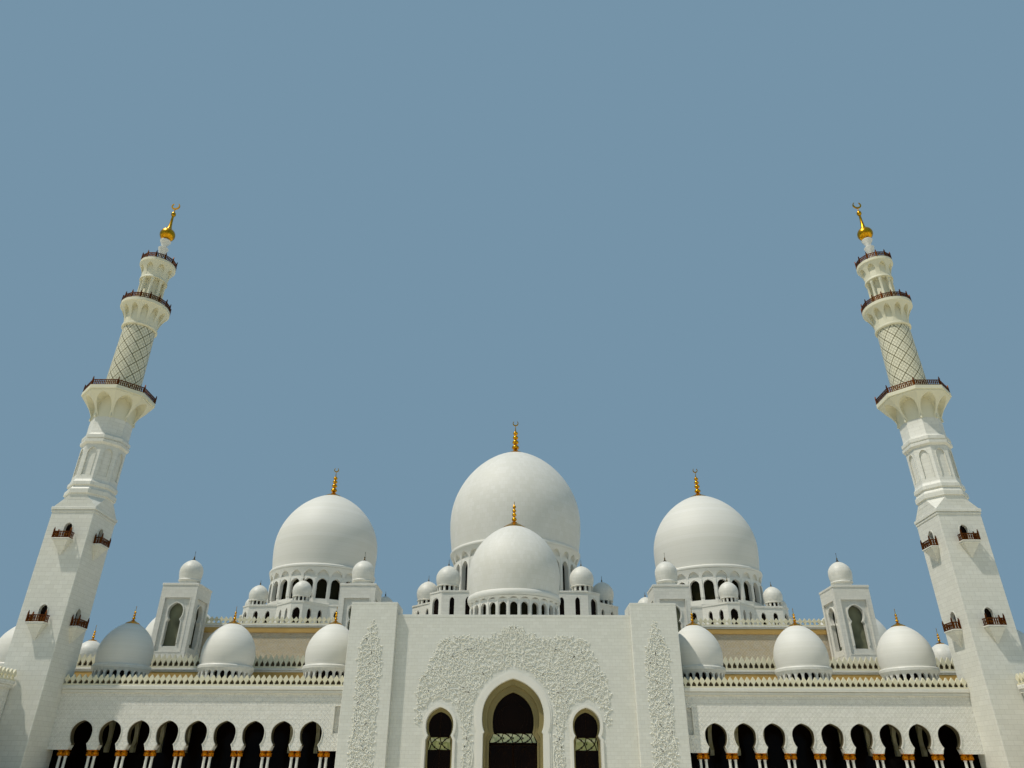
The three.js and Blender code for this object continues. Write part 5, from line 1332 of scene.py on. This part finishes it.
# Window towers
# Four square towers rise from the lower roof, of marble-faced walls with a sunk panel on each face.
# A keyhole window opens in each panel, with a raised bead, and a small dome on a round neck caps the tower.
TOWER_HALF = 3.33
TOWER_Y = 21.3 + TOWER_HALF
TOWER_FOOT = LOWER_CORNICE_Z + BED
TOWER_TOP = 33.7
TOWER_WELL = 2.43
TOWER_GLASS = 2.2
PANEL_HALF = 2.35
PANEL_Z = (21.5, 31.0)
TOWER_KEYHOLE = {"foot": 1.25, "sill": 22.9, "foot_z": 26.7, "neck": 0.95, "neck_z": 27.15, "wide": 1.36,
                 "wide_z": 28.5, "apex": 30.1}
TOWER_DOME = {"base": 1.95, "spring": 35.0, "wide": 2.15, "wide_z": 36.6, "top": 38.9, "tip": 40.6,
              "disc": 0.35}

tower = block(-TOWER_HALF, TOWER_HALF, -TOWER_HALF, TOWER_HALF, TOWER_FOOT, TOWER_TOP - 0.4)
cut(tower, block(-TOWER_WELL, TOWER_WELL, -TOWER_WELL, TOWER_WELL, TOWER_FOOT - 1, TOWER_TOP - 0.9))
panel_face = -TOWER_HALF + 0.3
cut(tower, ring_of(block(-PANEL_HALF, PANEL_HALF, -TOWER_HALF - 1, panel_face, *PANEL_Z), 4))
cut(tower, ring_of(slab(arch(TOWER_KEYHOLE, steps=7), -TOWER_HALF - 1, -TOWER_HALF + 1.2), 4))
tower_trim = [frame_ring(TOWER_KEYHOLE, 0.3, panel_face - 0.1, panel_face + 0.05, steps=7),
              frame_ring(TOWER_KEYHOLE, 0.18, panel_face - 0.2, panel_face + 0.05, steps=7, inner=0.06),
              cut(block(-2.55, 2.55, -TOWER_HALF - 0.06, -TOWER_HALF + 0.05, 21.3, 31.2),
                  block(-PANEL_HALF, PANEL_HALF, -TOWER_HALF - 1, -TOWER_HALF + 1, *PANEL_Z))]
tower_cap = block(-TOWER_HALF - 0.1, TOWER_HALF + 0.1, -TOWER_HALF - 0.1, TOWER_HALF + 0.1, TOWER_TOP - 0.4,
                  TOWER_TOP, bevel=0.05)
tower_dome = turned([(0, TOWER_TOP - 0.05), (1.75, TOWER_TOP - 0.05), (1.7, 34.6), (1.98, 34.68),
                     (2.04, 34.82), (1.98, 34.97)] + dome_line(TOWER_DOME, 12), 40)
tower_body = joined([tower, ring_of(joined(tower_trim), 4), tower_cap])
# The olive block filling each tower is painted as the shade inside its hollow, seen through the keyholes.
tower_shade_fill = block(-TOWER_GLASS, TOWER_GLASS, -TOWER_GLASS, TOWER_GLASS, 18.5, 32.0)
tower_spike = finial(TOWER_DOME, 0, 0, beads=2)
TOWER_PLACES = [("inner_tower", FIRST_ARCH_X), ("outer_tower", FIRST_ARCH_X + 8 * BAY)]
for name, x in TOWER_PLACES:
    settle_pair(joined([twin(tower_body, x, TOWER_Y), twin(tower_dome, x, TOWER_Y)]), name, wall_marble,
                "white_marble", [name])
tower_glass = dark_glass_finish("olive painted shade glass", "#9A9C80", 0.35)
settle_pair(joined([twin(tower_shade_fill, x, TOWER_Y) for name, x in TOWER_PLACES]), "tower_glass", tower_glass,
            "dark_glass")
settle_pair(joined([twin(tower_spike, x, TOWER_Y) for name, x in TOWER_PLACES]), "tower_spikes", turret_spike,
            "gilt_brass", smooth=40)
for pattern in (tower_body, tower_dome, tower_shade_fill, tower_spike):
    bpy.data.objects.remove(pattern)

# Lower roof, its end domes and corner turrets
# A flat marble-paved roof runs round the upper storey and carries a large dome at each end.
# A small turret dome stands near each front corner; all are built as the others are.
END_DOME = {"x": 77.0, "y": 58.0, "drum": 8.0, "foot": 17.05, "corbel_z": 21.4, "ring": 8.6, "ring_z": 23.2,
            "spring": 24.2, "base": 7.9, "wide": 8.3, "wide_z": 28.4, "top": 37.2, "tip": 41.5, "shell": 0.5,
            "disc": 1.8, "sides": 72, "windows": 28, "window": {"foot": 0.5, "sill": 18.8, "wide": 0.5,
                                                                "wide_z": 20.5, "apex": 21.1}}
CORNER_TURRET = (76.6, 21.0)
ROOF_EDGE_X = OUTER_X - WALL - BED
LOWER_ROOF_FOOT = 16.6
roof_slab = block(-ROOF_EDGE_X, ROOF_EDGE_X, LOWER_FRONT + WALL + BED, LOWER_BACK - WALL - BED,
                  LOWER_ROOF_FOOT, LOWER_CORNICE_Z)
cut(roof_slab, block(-UPPER_HALF + WALL, UPPER_HALF - WALL, UPPER_FRONT + WALL, UPPER_BACK - WALL, 16, 18))
cut(roof_slab, block(-PORTAL_HALF, PORTAL_HALF, 0, UPPER_FRONT, 16, 18))
settle(roof_slab, "lower_roof", paving_marble, "white_marble", ["lower_roof"])
raised_dome(END_DOME, "end", side_marble, nodes=False, beads=3, moon=False)
CORNER_DOME = {"wide": 2.35, "wide_z": 20.8, "top": 23.29, "tip": 25.9, "disc": 0.7}
corner_dome, corner_glass, corner_spike = little_dome(*CORNER_TURRET, LOWER_CORNICE_Z, CORNER_DOME["wide"],
                                                      CORNER_DOME["wide_z"])
bpy.data.objects.remove(corner_spike)
settle_pair(corner_dome, "corner_turret", wall_marble, "white_marble")
settle_pair(corner_glass, "corner_turret_glass", dark_glass, "dark_glass")
settle_pair(finial(CORNER_DOME, *CORNER_TURRET), "corner_turret_finial", gilt_brass, "gilt_brass", smooth=40)

# Minaret shafts
# Each minaret starts as a square tower clad in large coursed slabs, with two levels of small balconies.
# A balcony is a slab on a wedge-shaped corbel before an arched door, with a spiked bronze railing.
MINARET = (70.7, -1.6)
SHAFT_HALF = 3.4
SHAFT_TOP = 39.7
BALCONY_SLABS = (21.6, 34.3)
BALCONY_HALF = 1.4
BALCONY_REACH = 1.3
BALCONY_DOOR = {"foot": 0.62, "wide": 0.62}
RAILING_HEIGHT = 1.05
minaret_marble = marble_finish("coursed minaret marble", "#DAD9CF", "#D2D1C6", 130, 65, joint_mm=1.8)
railing_bronze = gold_finish("red-brown bronze railing", "#4C1C0E", "#8C5A20", 0.5, 60.0)


def on_minarets(piece, word, finish, slot, nodes=(), smooth=32):
    """Sets a piece drawn about the origin on both minarets."""
    settle_pair(placed(piece, *MINARET), "minaret_" + word, finish, slot, nodes, smooth=smooth)


def railing_side(half, y, foot, bars):
    """One straight side of a railing of leaf-shaped bars, with a spiked post at its right end."""
    step = 2 * half / bars
    first = -half + 0.5 * step
    top = foot + RAILING_HEIGHT
    belly = foot + 0.55 * RAILING_HEIGHT
    bar = slab([(first - 0.045, foot + 0.1), (first + 0.045, foot + 0.1), (first + 0.12, belly),
                (first + 0.04, top - 0.1), (first - 0.04, top - 0.1), (first - 0.12, belly)], y - 0.03,
               y + 0.03)
    return joined([block(-half, half, y - 0.05, y + 0.05, foot + 0.06, foot + 0.16),
                   block(-half, half, y - 0.06, y + 0.06, top - 0.14, top), row(bar, bars, (step, 0, 0)),
                   block(half - 0.09, half + 0.09, y - 0.09, y + 0.09, foot, top + 0.12),
                   slab([(half - 0.12, top + 0.12), (half + 0.12, top + 0.12), (half, top + 0.6)], y - 0.08,
                        y + 0.08)])


def wedge(half, y_near, y_far, top, foot):
    """Corbel that tapers from a slab down to a point on the wall."""
    piece = block(-half, half, y_near, y_far, foot, top)
    for corner in piece.data.vertices:
        if corner.co.z < foot + 0.01:
            corner.co.x *= 0.08
            corner.co.y = y_far if corner.co.y > (y_near + y_far) / 2 else y_far - 0.1
    return piece


shaft = block(-SHAFT_HALF, SHAFT_HALF, -SHAFT_HALF, SHAFT_HALF, FLOOR_TOP, SHAFT_TOP - 0.2, bevel=0.04)
shaft_caps = [block(-3.5, 3.5, -3.5, 3.5, 38.8, 39.15, bevel=0.04),
              block(-3.6, 3.6, -3.6, 3.6, 39.2, SHAFT_TOP, bevel=0.05)]
shaft_stone, shaft_rails, shaft_glass = [], [], []
for slab_z in BALCONY_SLABS:
    door = dict(BALCONY_DOOR, sill=slab_z + CUT_PAST, wide_z=slab_z + 2.0, apex=slab_z + 2.75)
    cut(shaft, ring_of(slab(arch(door, steps=5), -SHAFT_HALF - 1, -SHAFT_HALF + 0.6), 4))
    door_glass = slab(arch(dict(door, sill=slab_z), grow=0.04, steps=5), -SHAFT_HALF + 0.5,
                      -SHAFT_HALF + 0.58)
    edge = -SHAFT_HALF - BALCONY_REACH
    near = -SHAFT_HALF + 0.1
    bead = frame_ring(dict(door, sill=slab_z), 0.14, -SHAFT_HALF - 0.08, -SHAFT_HALF + 0.05, steps=5)
    plate = block(-BALCONY_HALF, BALCONY_HALF, edge, near, slab_z - 0.17, slab_z, bevel=0.03)
    ledge = block(-BALCONY_HALF + 0.1, BALCONY_HALF - 0.1, edge + 0.1, near, slab_z - 0.36, slab_z - 0.18,
                  bevel=0.02)
    corbel = wedge(BALCONY_HALF - 0.22, edge + 0.22, -SHAFT_HALF + 0.05, slab_z - 0.36, slab_z - 2.4)
    shaft_stone += [bead, plate, ledge, corbel]
    shaft_rails.append(railing_side(BALCONY_HALF - 0.1, edge + 0.1, slab_z, 8))
    for side in (-1, 1):
        flank = railing_side(0.52, 0, slab_z, 3)
        flank.data.transform(Matrix.Translation((side * (BALCONY_HALF - 0.1), edge + 0.65, 0))
                             @ Matrix.Rotation(side * math.pi / 2, 4, "Z"))
        shaft_rails.append(flank)
    shaft_glass.append(door_glass)
on_minarets(joined([shaft, ring_of(joined(shaft_stone), 4)] + shaft_caps), "shaft", minaret_marble,
            "white_marble", ["minaret_shaft"])
on_minarets(ring_of(joined(shaft_rails), 4), "shaft_rails", railing_bronze, "bronze_railing", smooth=0)
on_minarets(ring_of(joined(shaft_glass), 4), "shaft_doors", dark_glass, "dark_glass", smooth=0)

# Minaret octagons
# Broaches turn the square into an octagon with moulded bands and tall blind niches.
# Its capital flares out to a wide balcony, with one deep pointed niche on each side between carved ribs.
EIGHTH = math.pi / 8
TO_CORNER = 1 / math.cos(EIGHTH)
OCTAGON_TOP = 61.0
OCTAGON_BALCONY = 5.5
capital_marble = stone_finish("carved capital marble", "#D9D6C0", "#CFCAAE")


def octagonal(profile):
    """Eight-sided form from a line of (half width, height), flat sides to the front and the sides."""
    return turned([(r * TO_CORNER, z) for r, z in profile], 8, phase=EIGHTH)


broach = block(-SHAFT_HALF, SHAFT_HALF, -SHAFT_HALF, SHAFT_HALF, SHAFT_TOP + BED, 41.95)
for sx in (-1, 1):
    for sy in (-1, 1):
        alone(broach)
        bpy.ops.object.mode_set(mode="EDIT")
        bpy.ops.mesh.select_all(action="SELECT")
        bpy.ops.mesh.bisect(plane_co=(sx * SHAFT_HALF, sy * SHAFT_HALF, SHAFT_TOP + 0.02),
                            plane_no=(sx * 1.15, sy * 1.15, 1.0), clear_outer=True, use_fill=True)
        bpy.ops.object.mode_set(mode="OBJECT")
stage = octagonal([(0, 41.0), (3.42, 41.0), (3.42, 41.95), (3.62, 42.05), (3.62, 42.75), (3.4, 43.0),
                   (3.3, 43.35), (3.5, 43.55), (3.5, 44.1), (3.3, 44.35), (3.2, 44.8), (3.2, 50.9),
                   (3.4, 51.0), (3.55, 51.2), (3.55, 51.65), (3.32, 51.8), (3.5, 51.95), (3.5, 52.5),
                   (3.2, 52.75), (3.1, 53.0), (3.1, 56.0), (0, 56.0)])
tall_niche = {"foot": 0.7, "sill": 45.4 + CUT_PAST, "wide": 0.7, "wide_z": 49.2, "apex": 50.3}
cut(stage, ring_of(slab(arch(tall_niche, steps=5), -5, -3.02), 8))
niche_bead = frame_ring(dict(tall_niche, sill=45.4), 0.1, -3.28, -3.15, steps=5)
capital = octagonal([(0, 55.9), (3.1, 55.9), (3.18, 56.4), (3.45, 57.2), (3.9, 58.1), (4.55, 59.1),
                     (5.3, 60.1), (5.3, 60.3), (OCTAGON_BALCONY, 60.35), (OCTAGON_BALCONY, OCTAGON_TOP),
                     (0, OCTAGON_TOP)])
deep_niche = {"foot": 0.95, "sill": 56.2, "foot_z": 56.2, "neck": 0.95, "neck_z": 56.5, "wide": 1.3,
              "wide_z": 58.3, "apex": 59.9}
cut(capital, ring_of(slab(arch(deep_niche, steps=6), -8, -3.08), 8))
rib = turned([(0, 55.9), (0.16, 55.9), (0.16, 56.35), (0.1, 56.45), (0.1, 57.3), (0, 57.3)], 8)
rib.data.transform(Matrix.Rotation(EIGHTH, 4, "Z") @ Matrix.Translation((0, -3.2 * TO_CORNER, 0)))
on_minarets(joined([broach, stage, ring_of(niche_bead, 8)]), "octagon", minaret_marble, "white_marble",
            ["minaret_octagon"])
on_minarets(joined([capital, ring_of(rib, 8)]), "octagon_capital", capital_marble, "white_marble")
octagon_side = railing_side(OCTAGON_BALCONY * math.tan(EIGHTH) - 0.05, -OCTAGON_BALCONY + 0.14, OCTAGON_TOP,
                            14)
on_minarets(ring_of(octagon_side, 8), "octagon_rails", railing_bronze, "bronze_railing", smooth=0)

# Minaret round stages
# A round shaft clad with marble lozenges, their joints raked out dark and winding both ways round it.
# A second capital with twelve niches carries a round balcony.
ROUND_TOP = 80.3
ROUND_BALCONY = 4.3


def lozenge_finish(name, centre, round_count, rise_mm):
    """Marble lozenges on a round shaft: raked joints that wind both ways, with finer joints between."""
    finish, tree = new_finish(name)
    place = add_node(tree, "TexCoord").outputs["Object"]
    axis = (-MODEL_SCALE * centre[0], -MODEL_SCALE * centre[1] - MODEL_SHIFT_Y, 0)
    local = add_node(tree, "Mapping", {"Vector": place, "Location": axis})
    xyz = add_node(tree, "SeparateXYZ", {0: local}).outputs
    angle = add_node(tree, "Math", {0: xyz[1], 1: xyz[0]}, operation="ARCTAN2")
    turns = add_node(tree, "Math", {0: angle, 1: round_count / (2 * math.pi)}, operation="MULTIPLY")
    rises = add_node(tree, "Math", {0: xyz[2], 1: 1000 / rise_mm}, operation="MULTIPLY")
    lines = []
    for kind in ("ADD", "SUBTRACT"):
        for times, weight in ((1, 1.0), (3, 0.4)):
            wound = add_node(tree, "Math", {0: turns, 1: rises}, operation=kind)
            finer = add_node(tree, "Math", {0: wound, 1: times}, operation="MULTIPLY")
            folded = add_node(tree, "Math", {0: finer, 1: 0.5}, operation="PINGPONG")
            lines.append(add_node(tree, "MapRange", {
                0: folded, 1: 0.035 * times, 2: 0.055 * times, 3: weight, 4: 0.0}))
    deepest = lines[0]
    for line in lines[1:]:
        deepest = add_node(tree, "Math", {0: deepest, 1: line}, operation="MAXIMUM")
    cloud = add_node(tree, "TexNoise", {"Vector": place, "Scale": 6.0, "Detail": 5.0})
    stone = add_node(tree, "Mix", {
        0: cloud, 6: linear("#DEDAC4"), 7: linear("#CEC9AC")}, data_type="RGBA")
    jointed = add_node(tree, "Mix", {0: deepest, 6: stone.outputs[2], 7: linear("#6A6440")}, data_type="RGBA")
    sunk = add_node(tree, "Math", {0: 1.0, 1: deepest}, operation="SUBTRACT")
    normal = add_node(tree, "Bump", {"Strength": 0.8, "Distance": 0.006, "Height": sunk})
    shader = add_node(tree, "BsdfPrincipled", {
        "Base Color": jointed.outputs[2], "Roughness": 0.45, "IOR": 1.49, "Normal": normal})
    add_node(tree, "OutputMaterial", {0: shader})
    return finish


round_shaft = turned([(0, OCTAGON_TOP + BED), (3.15, OCTAGON_TOP + BED), (3.15, 61.5), (2.95, 61.7),
                      (2.75, 75.3), (0, 75.3)], 64)
for side, name in ((1, "right"), (-1, "left")):
    lozenges = lozenge_finish("marble lozenges " + name, (side * MINARET[0], MINARET[1]), 9, 260)
    settle(twin(round_shaft, side * MINARET[0], MINARET[1]), "minaret_round_shaft_" + name, lozenges,
           "white_marble", ["minaret_round_stage_" + name])
bpy.data.objects.remove(round_shaft)
round_capital = turned([(0, 75.2), (2.95, 75.2), (3.1, 75.35), (3.1, 75.6), (2.95, 75.75), (2.98, 76.6),
                        (3.15, 77.5), (3.55, 78.5), (4.1, 79.5), (4.2, 79.65), (ROUND_BALCONY, 79.7),
                        (ROUND_BALCONY, ROUND_TOP), (0, ROUND_TOP)], 48)
round_niche = {"foot": 0.48, "sill": 76.5, "wide": 0.58, "wide_z": 78.2, "apex": 79.3}
cut(round_capital, ring_of(slab(arch(round_niche, steps=4), -6, -2.9), 12))
on_minarets(round_capital, "round_capital", capital_marble, "white_marble")
round_rails = ring_of(railing_side(4.16 * math.tan(math.pi / 16), -4.16, ROUND_TOP, 6), 16)
on_minarets(round_rails, "round_rails", railing_bronze, "bronze_railing", smooth=0)

# Minaret lanterns
# Eight marble columns stand round a core and carry the last capital and its balcony.
# A turned marble neck above it holds a gilt ball, a spike with a small ball, and a crescent.
LANTERN_TOP = 90.5
LANTERN_BALCONY = 3.25
BALL_Z = 98.5
BALL_RADIUS = 1.46

lantern_column = turned([(0, 80.65), (0.36, 80.65), (0.36, 80.85), (0.27, 81.0), (0.25, 85.7), (0.34, 85.85),
                         (0.34, 86.0), (0.28, 86.1), (0.4, 86.45), (0, 86.45)], 12)
lantern_column.data.transform(Matrix.Rotation(EIGHTH, 4, "Z") @ Matrix.Translation((0, -2.05, 0)))
lantern_base = turned([(0, ROUND_TOP + BED), (2.5, ROUND_TOP + BED), (2.5, 80.7), (1.45, 80.7), (1.45, 86.42),
                       (0, 86.42)], 32)
lantern_capital = turned([(0, 86.4), (2.5, 86.4), (2.5, 86.7), (2.38, 86.85), (2.4, 87.6), (2.6, 88.5),
                          (2.95, 89.4), (3.15, 89.9), (LANTERN_BALCONY, 89.95),
                          (LANTERN_BALCONY, LANTERN_TOP), (0, LANTERN_TOP)], 48)
lantern_niche = {"foot": 0.5, "sill": 87.4, "wide": 0.62, "wide_z": 88.5, "apex": 89.5}
cut(lantern_capital, ring_of(slab(arch(lantern_niche, steps=4), -5, -2.3), 8))
neck = turned([(0, LANTERN_TOP - 0.02), (1.25, LANTERN_TOP - 0.02), (1.2, 91.0), (0.6, 91.6), (0.42, 92.9),
               (0.55, 93.6), (0.94, 94.7), (0.98, 94.9), (0.9, 95.0), (0.45, 95.1), (0.5, 95.6), (0.98, 96.6),
               (1.03, 96.8), (0.95, 96.95), (0, 97.0)], 24)
on_minarets(joined([lantern_base, ring_of(lantern_column, 8), lantern_capital]), "lantern", capital_marble,
            "white_marble", ["minaret_lantern"], smooth=40)
on_minarets(neck, "neck", column_marble, "white_marble", smooth=40)
lantern_rails = ring_of(railing_side(3.12 * math.tan(math.pi / 12), -3.12, LANTERN_TOP, 6), 12)
on_minarets(lantern_rails, "lantern_rails", railing_bronze, "bronze_railing", smooth=0)
ball_angles = [math.radians(-75 + 15 * i) for i in range(11)]
ball = [(BALL_RADIUS * math.cos(a), BALL_Z + BALL_RADIUS * math.sin(a)) for a in ball_angles]
spike = [(0.55, 99.9), (0.36, 100.6), (0.26, 101.8), (0.2, 103.3), (0.3, 103.45), (0.44, 103.7),
         (0.47, 103.95), (0.4, 104.25), (0.14, 104.5), (0.09, 105.15), (0, 105.15)]
tip = turned([(0, 96.95), (0.5, 96.95)] + ball + spike, 32)
on_minarets(joined([tip, crescent(0, 0, 106.1, 0.88)]), "finial", gilt_brass, "gilt_brass", smooth=40)

# Camera, sun and floor
# A wide lens near the ground looks up at the front, turned and rolled a little, as in the photograph.
# The sun stands high on the left behind the camera, a pale sky fills the shade, and the floor is plain.
PHOTO_LENS_MM = 25.6
PHOTO_TILT = 28.42
PHOTO_TURN = 0.58
PHOTO_ROLL = 0.31
PHOTO_EYE = (0.0765, -15.934, 0.16)
SUN_TRAVEL = (0.42, 0.23, -0.88)
SUN_STRENGTH = 3.1
SUN_WIDTH = 1.2
FLOOR_SIZE = 240

bpy.ops.mesh.primitive_plane_add(size=FLOOR_SIZE)
floor_plane = bpy.context.object
floor_plane.name = "pale_floor"
floor_finish, floor_tree = new_finish("pale studio floor")
floor_noise = add_node(floor_tree, "TexNoise", {"Scale": 0.4, "Detail": 4.0})
floor_tint = add_node(floor_tree, "Mix", {
    0: floor_noise, 6: linear("#E2D8C0"), 7: linear("#DAD0B6")}, data_type="RGBA")
floor_shader = add_node(floor_tree, "BsdfPrincipled", {"Base Color": floor_tint.outputs[2], "Roughness": 0.8})
add_node(floor_tree, "OutputMaterial", {0: floor_shader})
floor_plane.data.materials.append(floor_finish)

sky = bpy.data.worlds.new("pale studio surround")
sky.use_nodes = True
sky.node_tree.nodes.clear()
sky_light = add_node(sky.node_tree, "Background", {"Color": linear("#7593A8"), "Strength": 1.0})
add_node(sky.node_tree, "OutputWorld", {0: sky_light})
bpy.context.scene.world = sky
bpy.ops.object.light_add(type="SUN", rotation=Vector(SUN_TRAVEL).to_track_quat("-Z", "Y").to_euler())
sun = bpy.context.object
sun.data.energy = SUN_STRENGTH
sun.data.angle = math.radians(SUN_WIDTH)
sun.data.color = linear("#FFF8EC")[:3]
bpy.ops.object.camera_add(location=PHOTO_EYE)
camera = bpy.context.object
turn, tilt, roll = [Matrix.Rotation(math.radians(angle), 3, axis) for angle, axis in (
    (PHOTO_TURN, "Z"), (90 + PHOTO_TILT, "X"), (PHOTO_ROLL, "Z"))]
camera.rotation_euler = (turn @ tilt @ roll).to_euler()
camera.data.lens = PHOTO_LENS_MM
camera.data.clip_end = 200
bpy.context.scene.camera = camera
bpy.context.scene.view_settings.view_transform = "Standard"
